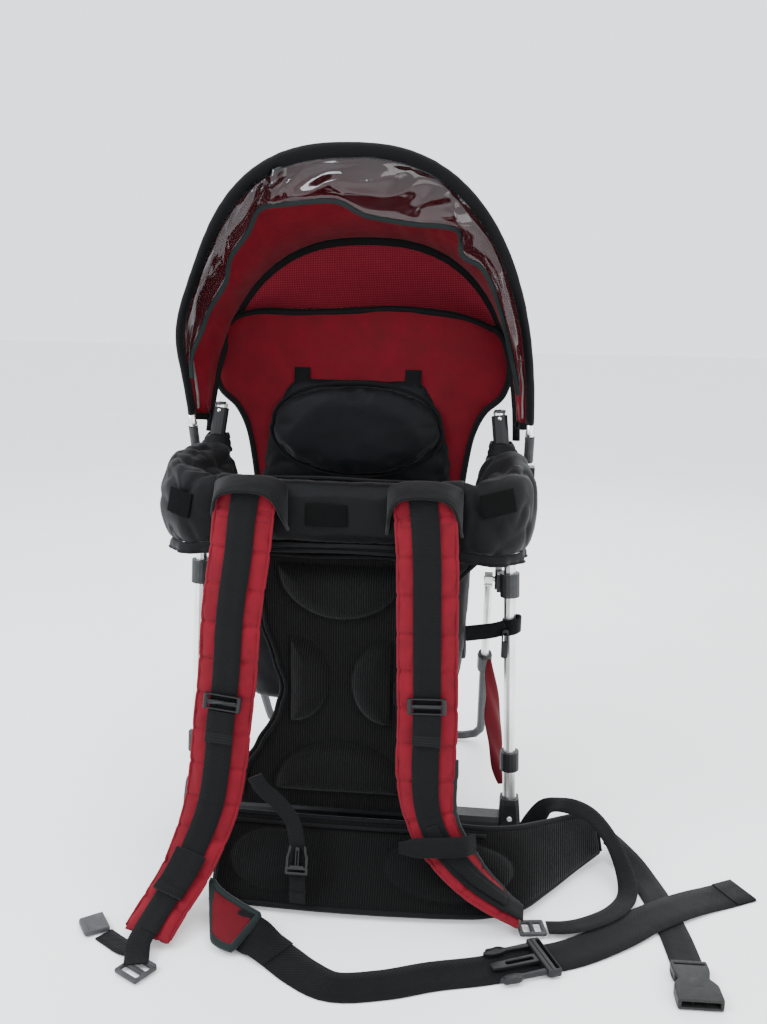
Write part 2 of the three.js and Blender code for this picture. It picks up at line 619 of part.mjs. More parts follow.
// ---------- assembly ----------
bothSides(makeSideFrame);
makeBase();
makeCockpit();
makeCanopy();
makeSeat();
makeKickstand();
makeBackPanel();
makeHipBelt();
makeShoulderStraps();
makeHipWebbing();
makeStrapWebbing();

export default model;
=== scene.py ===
"""Looks of a framed child-carrier backpack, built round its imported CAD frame. Metres, +Z up."""
import math

import bmesh
import bpy
import json
from mathutils import Matrix, Vector, noise


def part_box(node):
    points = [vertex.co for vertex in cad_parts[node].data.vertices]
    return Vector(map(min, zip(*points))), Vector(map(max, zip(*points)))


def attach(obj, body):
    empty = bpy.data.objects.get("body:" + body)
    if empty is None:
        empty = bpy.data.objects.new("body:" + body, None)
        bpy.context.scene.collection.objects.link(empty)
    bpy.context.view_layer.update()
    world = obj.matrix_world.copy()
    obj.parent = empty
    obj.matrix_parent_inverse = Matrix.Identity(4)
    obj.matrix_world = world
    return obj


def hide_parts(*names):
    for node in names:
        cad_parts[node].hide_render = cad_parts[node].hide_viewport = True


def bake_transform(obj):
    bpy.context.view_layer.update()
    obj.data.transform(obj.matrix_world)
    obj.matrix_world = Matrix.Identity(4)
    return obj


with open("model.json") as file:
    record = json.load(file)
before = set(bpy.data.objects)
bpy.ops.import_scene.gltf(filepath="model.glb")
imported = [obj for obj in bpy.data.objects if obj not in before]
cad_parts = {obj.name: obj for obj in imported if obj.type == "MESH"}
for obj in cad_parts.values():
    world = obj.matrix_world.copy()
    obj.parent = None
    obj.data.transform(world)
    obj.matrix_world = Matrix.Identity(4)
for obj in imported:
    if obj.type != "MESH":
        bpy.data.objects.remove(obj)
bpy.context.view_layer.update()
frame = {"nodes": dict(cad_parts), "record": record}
NODES = frame["nodes"]
UP = Vector((0, 0, 1))
SIDES = ((-1, "left"), (1, "right"))


# ---------------------------------------------------------------- small maths
def lerp(a, b, t):
    return a + (b - a) * t


def clamp(x, lo=0.0, hi=1.0):
    return max(lo, min(hi, x))


def smoothstep(lo, hi, x):
    t = clamp((x - lo) / (hi - lo))
    return t * t * (3 - 2 * t)


def circle(count):
    """Angles spread evenly round a circle."""
    return [2 * math.pi * k / count for k in range(count)]


def boxy(c, power):
    """A sine or cosine pushed out towards a square's corner, with its sign kept."""
    return math.copysign(abs(c) ** power, c)


def grid_faces(rows, cols, turned=False):
    """Quads over a grid of points, cols + 1 to a row; turned makes them face the other way."""
    n = cols + 1
    quads = []
    for j in range(rows):
        for i in range(cols):
            q = j * n + i
            quad = (q, q + 1, q + n + 1, q + n)
            quads.append((quad[0], quad[3], quad[2], quad[1]) if turned else quad)
    return quads


def spline(points, count):
    """Evenly spaced points along a centripetal Catmull-Rom curve, as part.mjs makes them."""
    p = [Vector(q) for q in points]
    p = [2 * p[0] - p[1], *p, 2 * p[-1] - p[-2]]
    fine = []
    for i in range(1, len(p) - 2):
        t = [0.0]
        for a, b in zip(p[i - 1:i + 2], p[i:i + 3]):
            t.append(t[-1] + max((b - a).length ** 0.5, 1e-6))
        for k in range(24):
            s = lerp(t[1], t[2], k / 24)
            a1 = p[i - 1].lerp(p[i], (s - t[0]) / (t[1] - t[0]))
            a2 = p[i].lerp(p[i + 1], (s - t[1]) / (t[2] - t[1]))
            a3 = p[i + 1].lerp(p[i + 2], (s - t[2]) / (t[3] - t[2]))
            b1 = a1.lerp(a2, (s - t[0]) / (t[2] - t[0]))
            b2 = a2.lerp(a3, (s - t[1]) / (t[3] - t[1]))
            fine.append(b1.lerp(b2, (s - t[1]) / (t[2] - t[1])))
    fine.append(p[-2])
    return respaced(fine, count)


def respaced(points, count):
    """The same polyline cut into count equal steps."""
    runs = [0.0]
    for a, b in zip(points, points[1:]):
        runs.append(runs[-1] + (b - a).length)
    result, k = [], 0
    for i in range(count + 1):
        want = runs[-1] * i / count
        while k < len(runs) - 2 and runs[k + 1] < want:
            k += 1
        span = max(runs[k + 1] - runs[k], 1e-9)
        result.append(points[k].lerp(points[k + 1], clamp((want - runs[k]) / span)))
    return result


def length_of(line):
    return sum((b - a).length for a, b in zip(line, line[1:]))


def tangent(line, i):
    return (line[min(i + 1, len(line) - 1)] - line[max(i - 1, 0)]).normalized()


def frames_of(line, faces):
    """(across, out) at each point: out is the face direction, squared to the line."""
    result = []
    for i, face in enumerate(faces):
        along = tangent(line, i)
        across = along.cross(face).normalized()
        result.append((across, across.cross(along).normalized()))
    return result


# ---------------------------------------------------------------- materials
def material(name, color, rough, metal=0.0, alpha=1.0, sheen=0.0, coat=0.0, specular=0.5):
    m = bpy.data.materials.new(name)
    m.use_nodes = True
    s = m.node_tree.nodes["Principled BSDF"].inputs
    s["Base Color"].default_value = (*color, 1)
    s["Roughness"].default_value = rough
    s["Metallic"].default_value = metal
    s["Alpha"].default_value = alpha
    s["Sheen Weight"].default_value = sheen
    s["Sheen Roughness"].default_value = 0.45
    s["Coat Weight"].default_value = coat
    s["Coat Roughness"].default_value = 0.04
    s["Specular IOR Level"].default_value = specular
    return m


class Graph:
    """A few short calls for wiring a material's nodes."""

    def __init__(self, mat):
        self.tree = mat.node_tree
        self.shader = self.tree.nodes["Principled BSDF"]
        self.coords = self.tree.nodes.new("ShaderNodeTexCoord")

    def node(self, kind, **settings):
        n = self.tree.nodes.new(kind)
        for key, value in settings.items():
            if key in n.inputs:
                n.inputs[key].default_value = value
            else:
                setattr(n, key, value)
        return n

    def link(self, a, b):
        self.tree.links.new(a, b)

    def mapped(self, scale, source="Object", turn=(0, 0, 0)):
        m = self.node("ShaderNodeMapping")
        m.inputs["Scale"].default_value = scale
        m.inputs["Rotation"].default_value = turn
        self.link(self.coords.outputs[source], m.inputs["Vector"])
        return m.outputs["Vector"]

    def noise(self, scale, detail=3, source="Object", stretch=(1, 1, 1)):
        n = self.node("ShaderNodeTexNoise", Scale=scale, Detail=detail)
        self.link(self.mapped(stretch, source), n.inputs["Vector"])
        return n.outputs["Fac"]

    def wave(self, scale, direction, source="Object", turn=(0, 0, 0), stretch=(1, 1, 1)):
        n = self.node("ShaderNodeTexWave", Scale=scale, bands_direction=direction)
        self.link(self.mapped(stretch, source, turn), n.inputs["Vector"])
        return n.outputs["Fac"]

    def maths(self, how, a, b):
        n = self.node("ShaderNodeMath", operation=how)
        for slot, value in ((0, a), (1, b)):
            if isinstance(value, (int, float)):
                n.inputs[slot].default_value = value
            else:
                self.link(value, n.inputs[slot])
        return n.outputs[0]

    def ramp(self, fac, dark, light, lo=0.3, hi=0.7):
        n = self.node("ShaderNodeValToRGB")
        n.color_ramp.elements[0].position = lo
        n.color_ramp.elements[1].position = hi
        n.color_ramp.elements[0].color = (*dark, 1)
        n.color_ramp.elements[1].color = (*light, 1)
        self.link(fac, n.inputs["Fac"])
        return n.outputs["Color"]

    def mix(self, fac, a, b, how="MIX"):
        n = self.node("ShaderNodeMix", data_type="RGBA", blend_type=how)
        for slot, value in ((0, fac), (6, a), (7, b)):
            if isinstance(value, (int, float, tuple)):
                n.inputs[slot].default_value = value
            else:
                self.link(value, n.inputs[slot])
        return n.outputs[2]

    def color(self, source):
        self.link(source, self.shader.inputs["Base Color"])

    def rough(self, fac, lo, hi):
        n = self.node("ShaderNodeMapRange")
        n.inputs["To Min"].default_value = lo
        n.inputs["To Max"].default_value = hi
        self.link(fac, n.inputs["Value"])
        self.link(n.outputs["Result"], self.shader.inputs["Roughness"])

    def bump(self, *layers):
        """Each layer is (height, strength, distance in metres)."""
        last = None
        for height, strength, distance in layers:
            n = self.node("ShaderNodeBump", Strength=strength, Distance=distance)
            self.link(height, n.inputs["Height"])
            if last is not None:
                self.link(last, n.inputs["Normal"])
            last = n.outputs["Normal"]
        self.link(last, self.shader.inputs["Normal"])


def bands(period):
    """The wave texture's scale that repeats once every period, in metres."""
    return 2 * math.pi / (20 * period)


def scaled(color, k):
    return tuple(min(c * k, 1.0) for c in color)


def nylon(name, color, rough=0.75, sheen=0.3, thread=0.0011, crinkle=0.6):
    """Plain woven nylon: crossed threads, soft mottling and small creases."""
    m = material(name, color, rough, sheen=sheen, specular=0.1)
    g = Graph(m)
    per = bands(thread)
    weave = g.maths("MAXIMUM", g.wave(per, "X"), g.wave(per, "Z"))
    mottle = g.noise(38, 5)
    broad = g.noise(9, 3)
    base = g.ramp(mottle, scaled(color, 0.82), scaled(color, 1.16))
    g.color(g.mix(g.maths("MULTIPLY", broad, 0.35), base, (*scaled(color, 0.62), 1)))
    g.rough(mottle, rough - 0.1, rough + 0.12)
    g.bump((weave, 0.35, 0.0002), (g.noise(160, 4), 0.35 * crinkle, 0.0008),
           (g.noise(46, 4), 0.5 * crinkle, 0.0022))
    return m


def webbing_material(name, color, rib=0.0016):
    """Woven webbing: cross ribs along its length with a fine twill."""
    m = material(name, color, 0.62, sheen=0.06, specular=0.08)
    g = Graph(m)
    ribs = g.wave(bands(rib), "Y", "UV")
    twill = g.wave(bands(rib * 1.8), "DIAGONAL", "UV")
    wear = g.noise(60, 4)
    # Painted shade in the rib grooves and a painted highlight on the rib crests.
    base = g.ramp(ribs, scaled(color, 0.55), scaled(color, 1.7), 0.15, 0.9)
    g.color(g.mix(g.maths("MULTIPLY", wear, 0.5), base, (*scaled(color, 2.2), 1)))
    g.rough(wear, 0.5, 0.78)
    g.bump((ribs, 0.6, 0.0005), (twill, 0.4, 0.0003), (g.noise(90, 3), 0.2, 0.001))
    return m


def spacer_mesh(name, color, painted_highlight):
    """Ribbed spacer mesh: upright ribs with rows of small holes, its colour painted with highlights on the
    rib crests and with shade in the grooves and the holes.
    """
    m = material(name, color, 0.75, sheen=0.06, specular=0.07)
    g = Graph(m)
    ribs = g.wave(bands(0.0030), "X")
    cells = g.node("ShaderNodeTexVoronoi", Scale=420.0, feature="F1")
    g.link(g.mapped((1, 1, 0.7)), cells.inputs["Vector"])
    # The holes are painted shade: the colour is darkened towards each hole's middle.
    holes = g.ramp(cells.outputs["Distance"], (0, 0, 0), (1, 1, 1), 0.1, 0.55)
    # Painted shade in the rib grooves (half the colour) and a painted highlight colour on the rib crests.
    base = g.ramp(ribs, scaled(color, 0.5), painted_highlight, 0.2, 1.0)
    g.color(g.mix(0.55, base, holes, "MULTIPLY"))
    g.bump((ribs, 0.7, 0.0008), (cells.outputs["Distance"], 0.5, 0.0006), (g.noise(30, 3), 0.25, 0.002))
    return m


def open_mesh(name, color, painted_highlight):
    """Knitted mesh cloth with a coarse even grid, its colour painted with highlights where the threads cross
    and with shade between them.
    """
    m = material(name, color, 0.85, sheen=0.05, specular=0.08)
    g = Graph(m)
    per = bands(0.0024)
    grid = g.maths("MULTIPLY", g.wave(per, "X"), g.wave(per, "Z"))
    patch = g.noise(120, 4)
    # Painted shade between the threads and a painted highlight colour where they cross.
    base = g.ramp(grid, scaled(color, 0.7), painted_highlight, 0.1, 0.75)
    g.color(g.mix(g.maths("MULTIPLY", patch, 0.5), base, (*scaled(color, 0.8), 1)))
    g.bump((grid, 0.6, 0.0005), (g.noise(25, 3), 0.3, 0.002))
    return m


def plastic(name, color, rough=0.42):
    """Moulded nylon or acetal: fine spark grain, slight scuffs."""
    m = material(name, color, rough, specular=0.28)
    g = Graph(m)
    scuff = g.noise(70, 6)
    g.color(g.ramp(scuff, scaled(color, 0.85), scaled(color, 1.5), 0.45, 0.85))
    g.rough(g.noise(240, 4), rough - 0.08, rough + 0.16)
    g.bump((g.noise(900, 2), 0.15, 0.0002), (g.noise(60, 3), 0.1, 0.0005))
    return m


def aluminium():
    """Satin anodised tube: draw lines along it and a few handling marks."""
    m = material("anodised_tube", (0.86, 0.86, 0.84), 0.38, metal=1.0)
    g = Graph(m)
    lines = g.noise(420, 3, stretch=(1, 1, 0.03))
    marks = g.noise(26, 6)
    g.color(g.ramp(marks, (0.74, 0.74, 0.72), (0.92, 0.92, 0.9), 0.35, 0.7))
    g.rough(lines, 0.26, 0.46)
    g.bump((lines, 0.12, 0.0003))
    return m


def vinyl():
    """Clear soft vinyl: glossy, slightly grey, cloudy in its creases."""
    m = material("clear_vinyl", (0.030, 0.032, 0.034), 0.06, alpha=0.45, coat=0.6, specular=0.5)
    g = Graph(m)
    cloud = g.noise(14, 4)
    g.color(g.ramp(cloud, (0.003, 0.0032, 0.0034), (0.016, 0.017, 0.018), 0.4, 0.8))
    g.rough(g.noise(45, 3), 0.03, 0.16)
    g.bump((g.noise(9, 2), 0.2, 0.004))
    return m


BLACK = (0.0022, 0.0023, 0.0028)
MATS = {
    "silver_tube": aluminium(),
    "black_plastic": plastic("black_plastic", (0.0052, 0.0052, 0.006)),
    "grey_plastic": plastic("grey_plastic", (0.030, 0.031, 0.032), 0.48),
    "clip_grey": plastic("clip_grey", (0.050, 0.050, 0.052), 0.5),
    "buckle_grey": plastic("buckle_grey", (0.010, 0.0108, 0.0098), 0.5),
    "black_nylon": nylon("black_nylon", BLACK, 0.6, 0.05),
    "binding": nylon("binding", (0.0028, 0.0028, 0.0032), 0.7, 0.05, crinkle=0.2),
    "green_binding": nylon("green_binding", (0.0065, 0.0105, 0.0105), 0.6, 0.1, crinkle=0.2),
    "hook_tape": nylon("hook_tape", (0.0018, 0.0018, 0.0018), 0.95, 0.0, thread=0.0018, crinkle=1.4),
    "pillow_nylon": nylon("pillow_nylon", (0.0032, 0.0036, 0.0045), 0.5, 0.06),
    # The last colour of each spacer mesh is the painted highlight on its rib crests.
    "spacer_mesh": spacer_mesh("spacer_mesh", (0.0016, 0.0016, 0.0019), (0.0078, 0.0076, 0.0074)),
    "foam_mesh": spacer_mesh("foam_mesh", (0.0012, 0.0012, 0.0014), (0.0050, 0.0049, 0.0049)),
    "red_nylon": nylon("red_nylon", (0.076, 0.0026, 0.0062), 0.7, 0.05),
    "seat_red": nylon("seat_red", (0.098, 0.0024, 0.0070), 0.7, 0.04),
    "red_pad": nylon("red_pad", (0.128, 0.0040, 0.0105), 0.68, 0.06),
    "canopy_red": nylon("canopy_red", (0.120, 0.0030, 0.0085), 0.62, 0.04, crinkle=1.0),
    # The last colour of the canopy mesh is the painted highlight on its threads.
    "canopy_mesh": open_mesh("canopy_mesh", (0.150, 0.0080, 0.0170), (0.330, 0.0300, 0.0500)),
    "clear_vinyl": vinyl(),
    "webbing": webbing_material("webbing", (0.0020, 0.0022, 0.0025)),
    "ribbed_webbing": webbing_material("ribbed_webbing", (0.0034, 0.0037, 0.0039), 0.0034),
    "zip_teeth": plastic("zip_teeth", (0.16, 0.16, 0.155), 0.4),
    "stitch_black": plastic("stitch_black", (0.008, 0.008, 0.009), 0.8),
}


def dress(node, mat):
    """Gives a CAD node a material, keeping its mesh as it is."""
    o = NODES[node]
    if not o.material_slots:
        o.data.materials.append(MATS[mat])
    for s in o.material_slots:
        s.material = MATS[mat]


# ---------------------------------------------------------------- mesh helpers
def placed(name, data):
    """A new object, put in the scene."""
    o = bpy.data.objects.new(name, data)
    bpy.context.scene.collection.objects.link(o)
    return o


def make(name, verts, faces, mat, uvs=None, smooth=True):
    mesh = bpy.data.meshes.new(name)
    mesh.from_pydata([tuple(v) for v in verts], [], faces)
    mesh.validate()
    if uvs is not None:
        layer = mesh.uv_layers.new(name="UVMap")
        for loop in mesh.loops:
            layer.data[loop.index].uv = uvs[loop.vertex_index]
    for p in mesh.polygons:
        p.use_smooth = smooth
    o = placed(name, mesh)
    o.data.materials.append(MATS[mat])
    return o


def face_out(o):
    bm = bmesh.new()
    bm.from_mesh(o.data)
    bmesh.ops.recalc_face_normals(bm, faces=bm.faces)
    bm.to_mesh(o.data)
    bm.free()
    return o


def loft(name, rings, mat, ends=True, closed=True, uvs=None, smooth=True):
    """A skin through rings of points. closed joins each ring's ends; ends caps the first and last."""
    n = len(rings[0])
    verts = [p for ring in rings for p in ring]
    faces = []
    for i in range(len(rings) - 1):
        for j in range(n if closed else n - 1):
            a, b = i * n + j, i * n + (j + 1) % n
            faces.append((a, b, b + n, a + n))
    if ends and closed:
        faces.append(tuple(range(n - 1, -1, -1)))
        faces.append(tuple(range(len(verts) - n, len(verts))))
    o = make(name, verts, faces, mat, uvs, smooth)
    return face_out(o)


def modify(o, kind, **settings):
    m = o.modifiers.new(kind.lower(), kind)
    for key, value in settings.items():
        setattr(m, key, value)
    return o


def subdivide(o, levels=1):
    return modify(o, "SUBSURF", levels=levels, render_levels=levels)


def ribbon(name, line, frames, width, thickness, mat):
    """Webbing: a flat closed strip with thin rounded selvedges, and UVs in metres."""
    rings, uvs = [], []
    run = 0.0
    for i, centre in enumerate(line):
        if i:
            run += (line[i] - line[i - 1]).length
        across, out = frames[i]
        w = (width[i] if isinstance(width, (list, tuple)) else width) / 2
        t = thickness / 2
        e = 0.9 * t
        shape = [(-w, 0), (-w + e, -t), (-w * 0.4, -t), (w * 0.4, -t), (w - e, -t), (w, 0),
                 (w - e, t), (w * 0.4, t), (-w * 0.4, t), (-w + e, t)]
        rings.append([centre + across * a + out * o for a, o in shape])
        uvs += [(a, run) for a, _ in shape]
    o = loft(name, rings, mat, uvs=uvs)
    return modify(o, "EDGE_SPLIT", split_angle=math.radians(70))


def tube(name, line, radius, mat, sides=10, closed=False):
    """A round bead or rod along a line. radius may be one value or one per point."""
    rings = []
    ref = None
    count = len(line)
    for i, centre in enumerate(line):
        if closed:
            along = (line[(i + 1) % count] - line[i - 1]).normalized()
        else:
            along = tangent(line, i)
        if ref is None:
            ref = along.orthogonal().normalized()
        ref = (ref - along * ref.dot(along)).normalized()
        other = along.cross(ref)
        r = radius[i] if isinstance(radius, (list, tuple)) else radius
        rings.append([centre + (ref * math.cos(a) + other * math.sin(a)) * r
                      for a in circle(sides)])
    if closed:
        rings.append(rings[0])
    return loft(name, rings, mat, ends=not closed)


def join(name, objects):
    """Joins made pieces into one, with their modifiers applied first."""
    dg = bpy.context.evaluated_depsgraph_get()
    bm = bmesh.new()
    mats = []
    mesh = bpy.data.meshes.new(name)
    for o in objects:
        evaluated = bpy.data.meshes.new_from_object(o.evaluated_get(dg))
        for slot in evaluated.materials:
            if slot not in mats:
                mats.append(slot)
        table = [mats.index(slot) for slot in evaluated.materials]
        evaluated.transform(o.matrix_world)
        before = len(bm.faces)
        bm.from_mesh(evaluated)
        bm.faces.ensure_lookup_table()
        for f in bm.faces[before:]:
            f.material_index = table[f.material_index]
    bm.to_mesh(mesh)
    bm.free()
    for slot in mats:
        mesh.materials.append(slot)
    result = placed(name, mesh)
    for o in objects:
        bpy.data.objects.remove(o, do_unlink=True)
    return result


def apply_all(o):
    """Bakes an object's modifiers into its mesh."""
    dg = bpy.context.evaluated_depsgraph_get()
    mesh = bpy.data.meshes.new_from_object(o.evaluated_get(dg))
    o.modifiers.clear()
    old = o.data
    o.data = mesh
    bpy.data.meshes.remove(old)
    return o


def ruffle(o, strength, scale, seed=0.0):
    """Moves points in and out by smooth noise, as soft creases."""
    mesh = o.data
    normals = [v.normal.copy() for v in mesh.vertices]
    shift = Vector((seed, seed * 1.7, seed * 0.3))
    for v, n in zip(mesh.vertices, normals):
        d = noise.noise(v.co * scale + shift) * 0.65 + noise.noise(v.co * scale * 2.3 + shift) * 0.35
        v.co += n * (d * strength)
    return o


# ---------------------------------------------------------------- flat mouldings
MM = 0.001


def metres(points):
    return [Vector(p) * MM for p in points]


def rounded(points, radius, steps=4):
    """The outline with each corner turned into a small curve. radius may be one per corner."""
    result = []
    n = len(points)
    for i, (x, y) in enumerate(points):
        p = Vector((x, y))
        r = radius[i] if isinstance(radius, (list, tuple)) else radius
        a, b = Vector(points[i - 1]) - p, Vector(points[(i + 1) % n]) - p
        a, b = (p + q.normalized() * min(r, q.length * 0.48) for q in (a, b))
        for k in range(steps + 1):
            t = k / steps
            result.append(a * (1 - t) ** 2 + p * (2 * t * (1 - t)) + b * t * t)
    return [(q.x, q.y) for q in result]


def oblong(width, height, centre=(0, 0), radius=None):
    w, h = width / 2, height / 2
    x, y = centre
    box = [(x - w, y - h), (x + w, y - h), (x + w, y + h), (x - w, y + h)]
    return rounded(box, min(w, h) * 0.9 if radius is None else radius)


def plate(name, outline, thickness, mat, holes=(), edge=0.7, place=None, lift=0.0):
    """A flat moulding in millimetres, centred on z = lift, with holes and rounded edges."""
    curve = bpy.data.curves.new(name, "CURVE")
    curve.dimensions = "2D"
    curve.fill_mode = "BOTH"
    curve.extrude = (thickness / 2 - edge) * MM
    curve.bevel_depth = edge * MM
    curve.bevel_resolution = 2
    curve.offset = -edge * MM
    for loop in (outline, *holes):
        s = curve.splines.new("POLY")
        s.points.add(len(loop) - 1)
        for p, (x, y) in zip(s.points, loop):
            p.co = (x * MM, y * MM, 0, 1)
        s.use_cyclic_u = True
    holder = placed(name, curve)
    dg = bpy.context.evaluated_depsgraph_get()
    mesh = bpy.data.meshes.new_from_object(holder.evaluated_get(dg))
    bpy.data.objects.remove(holder, do_unlink=True)
    mesh.transform(Matrix.Translation((0, 0, lift * MM)))
    if place is not None:
        mesh.transform(place)
    mesh.materials.clear()
    o = placed(name, mesh)
    o.data.materials.append(MATS[mat])
    bm = bmesh.new()
    bm.from_mesh(mesh)
    bmesh.ops.remove_doubles(bm, verts=bm.verts, dist=1e-6)
    bm.to_mesh(mesh)
    bm.free()
    for p in mesh.polygons:
        p.use_smooth = True
    return modify(o, "EDGE_SPLIT", split_angle=math.radians(50))


def bar_between(name, a, b, radius, mat, sides=12):
    """A short round bar with domed ends."""
    a, b = Vector(a), Vector(b)
    along = (b - a).normalized()
    caps = (0.0, 0.35, 0.7, 0.95, 1.0)
    line = [a + along * radius * c * 0.5 for c in caps]
    line += [b - along * radius * c * 0.5 for c in reversed(caps)]
    sizes = [radius * math.sqrt(max(c, 0.02)) for c in caps]
    return tube(name, line, sizes + sizes[::-1], mat, sides)


def pose_of(centre, turn=0.0, tilt=None):
    """Places a millimetre moulding: turned about +Z by degrees, then tilted, then moved."""
    m = Matrix.Translation(Vector(centre) * MM)
    if tilt is not None:
        m = m @ tilt
    return m @ Matrix.Rotation(math.radians(turn), 4, "Z")


# ---------------------------------------------------------------- camera, floor, light
CAMERA_AT = (0.168, -1.29, 0.745)
CAMERA_PAN = 5.7                 # degrees, towards -X
CAMERA_DROP = 12.0
CAMERA_ROLL = 1.1
LENS = 35.16
SKY_COLOR = (0.93, 0.96, 1.0, 1)
SKY_STRENGTH = 2.1


def camera():
    data = bpy.data.cameras.new("camera")
    data.lens = LENS
    o = placed("camera", data)
    turn = Matrix.Rotation(math.radians(CAMERA_PAN), 4, "Z")
    drop = Matrix.Rotation(math.radians(90 - CAMERA_DROP), 4, "X")
    roll = Matrix.Rotation(math.radians(CAMERA_ROLL), 4, "Z")
    o.matrix_world = Matrix.Translation(CAMERA_AT) @ turn @ drop @ roll
    bpy.context.scene.camera = o


def area_light(name, at, aim, size, power, color=(1, 1, 1)):
    data = bpy.data.lights.new(name, "AREA")
    data.shape = "RECTANGLE"
    data.size, data.size_y = size
    data.energy = power
    data.color = color
    o = placed(name, data)
    o.location = at
    o.rotation_euler = (Vector(aim) - Vector(at)).to_track_quat("-Z", "Y").to_euler()


def stage():
    world = bpy.data.worlds.new("studio")
    world.use_nodes = True
    sky = world.node_tree.nodes["Background"].inputs
    sky["Color"].default_value = SKY_COLOR
    sky["Strength"].default_value = SKY_STRENGTH
    bpy.context.scene.world = world
    area_light("window", (-1.5, -1.3, 2.1), (0, 0, 0.5), (1.3, 0.9), 62, (0.88, 0.94, 1.0))
    area_light("overhead", (0.5, -0.5, 2.7), (0, 0, 0.4), (1.8, 1.4), 34)
    area_light("fill", (1.5, -1.7, 1.2), (0, 0, 0.4), (1.4, 1.2), 16, (1.0, 0.98, 0.95))
    area_light("back", (0.4, 2.2, 1.9), (0, 0, 0.5), (1.6, 1.2), 22)
    m = material("floor", (0.9, 0.9, 0.9), 0.9, specular=0.1)
    g = Graph(m)
    g.color(g.ramp(g.noise(3, 3), (0.90, 0.90, 0.90), (0.92, 0.92, 0.92)))
    MATS["floor"] = m
    reach = 14
    corners = [(-reach, -reach, 0), (reach, -reach, 0), (reach, reach, 0), (-reach, reach, 0)]
    make("floor", corners, [(0, 1, 2, 3)], "floor")


# ---------------------------------------------------------------- free webbing
WEB_T = 0.002
WIDE_ROUTE = metres([[-68, -272, 8], [-42, -287, 3], [-13, -309, 1.5], [24, -328, 1.5],
                     [80, -318, 1.5], [133, -297, 1.5], [192, -279, 1.5], [246, -256, 1.5],
                     [293, -236, 1.8], [350, -197, 3.4], [388, -164, 4.8], [426, -136, 4.8],
                     [458, -114, 3], [490, -96, 1.5], [526, -76, 1.5]])
NARROW_ROUTE = metres([[357, -14, 30], [366, -18, 24], [385, -34, 10], [399, -64, 2],
                       [409, -104, 1.5], [416, -150, 1.5], [421, -190, 1.5], [424, -232, 1.5],
                       [424, -246, 3]])
LOOP_ROUTE = metres([[247, -31, 42], [257, -28, 58], [273, -31, 78], [298, -44, 88],
                     [328, -50, 80], [354, -60, 54], [371, -84, 24], [373, -116, 9],
                     [354, -152, 7.5], [318, -182, 7.5], [290, -196, 8.5], [267, -200, 9]])
STERNUM_ROUTE = metres([[-93, -190, 176], [-84, -188, 160], [-63, -188, 141], [-46, -191, 120],
                        [-39, -197, 94], [-37, -206, 67], [-36, -212, 46], [-35, -215, 26]])
TAIL_ROUTE = metres([[-206, -297, 5], [-222, -294, 2.2], [-240, -283, 1.6], [-258, -271, 1.6]])


def laid_up(_):
    return UP.copy()


def loop_face(t):
    standing = 1 - smoothstep(0.35, 0.6, t)
    return Vector((0.4 * standing, -0.6 * standing, 0.9)).normalized()


def sternum_face(_):
    return Vector((-0.2, -1, 0.3)).normalized()


def free_webbing(name, node, route, face, width, steps, mat="webbing"):
    """A length of webbing along its route, with the line it follows."""
    line = spline(route, steps)
    faces = [face(i / steps) for i in range(steps + 1)]
    o = ribbon(name, line, frames_of(line, faces), width, WEB_T, mat)
    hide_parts(node)
    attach(o, "frame")
    return o, line


def piece(o, body, slot, *nodes):
    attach(o, body)
    if nodes:
        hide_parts(*nodes)
    return o


def edging(name, line, radius, closed=False):
    """A corded or bound edge on the frame: a round bead of binding tape."""
    return piece(tube(name, line, radius, "binding", 8, closed), "frame", "webbing")


def wide_buckle():
    """The hip belt's male side-release buckle, its prongs back along the webbing."""
    place = pose_of((239, -264, 7.6), 24)
    yoke = rounded([(17, -31), (31, -31), (31, 31), (17, 31), (14, 29), (14, -29)], 2.5)
    slot_holes = (oblong(3.6, 54, (27, 0), 1.2),)
    parts = [plate("yoke", yoke, 9, "black_plastic", slot_holes, 1.4, place)]
    parts.append(plate("ladder", oblong(3.4, 58, (20.6, 0)), 10.4, "black_plastic", (), 1.4, place))
    for side in (-1, 1):
        prong = [(18, 27 * side), (18, 20 * side), (-14, 21.4 * side), (-22, 18.5 * side),
                 (-34, 18.5 * side), (-42, 22 * side), (-43, 25 * side), (-34, 28.5 * side),
                 (-24, 31 * side), (-19, 30 * side), (-15, 26 * side)]
        if side < 0:
            prong.reverse()
        parts.append(plate("prong", rounded(prong, 3), 5.6, "black_plastic", (), 1.3, place))
        parts.append(plate("pad", oblong(17, 8.6, (-31, 25 * side), 4), 7.0, "black_plastic",
                           (), 1.6, place))
    tongue = rounded([(18, -7), (18, 7), (-33, 6), (-43, 4), (-43, -4), (-33, -6)], 2)
    window = (oblong(34, 5.4, (-8, 0), 1.5),)
    parts.append(plate("tongue", tongue, 5, "black_plastic", window, 1.0, place))
    return piece(join("hip_buckle_male", parts), "frame", "black_plastic", "buckle_male")


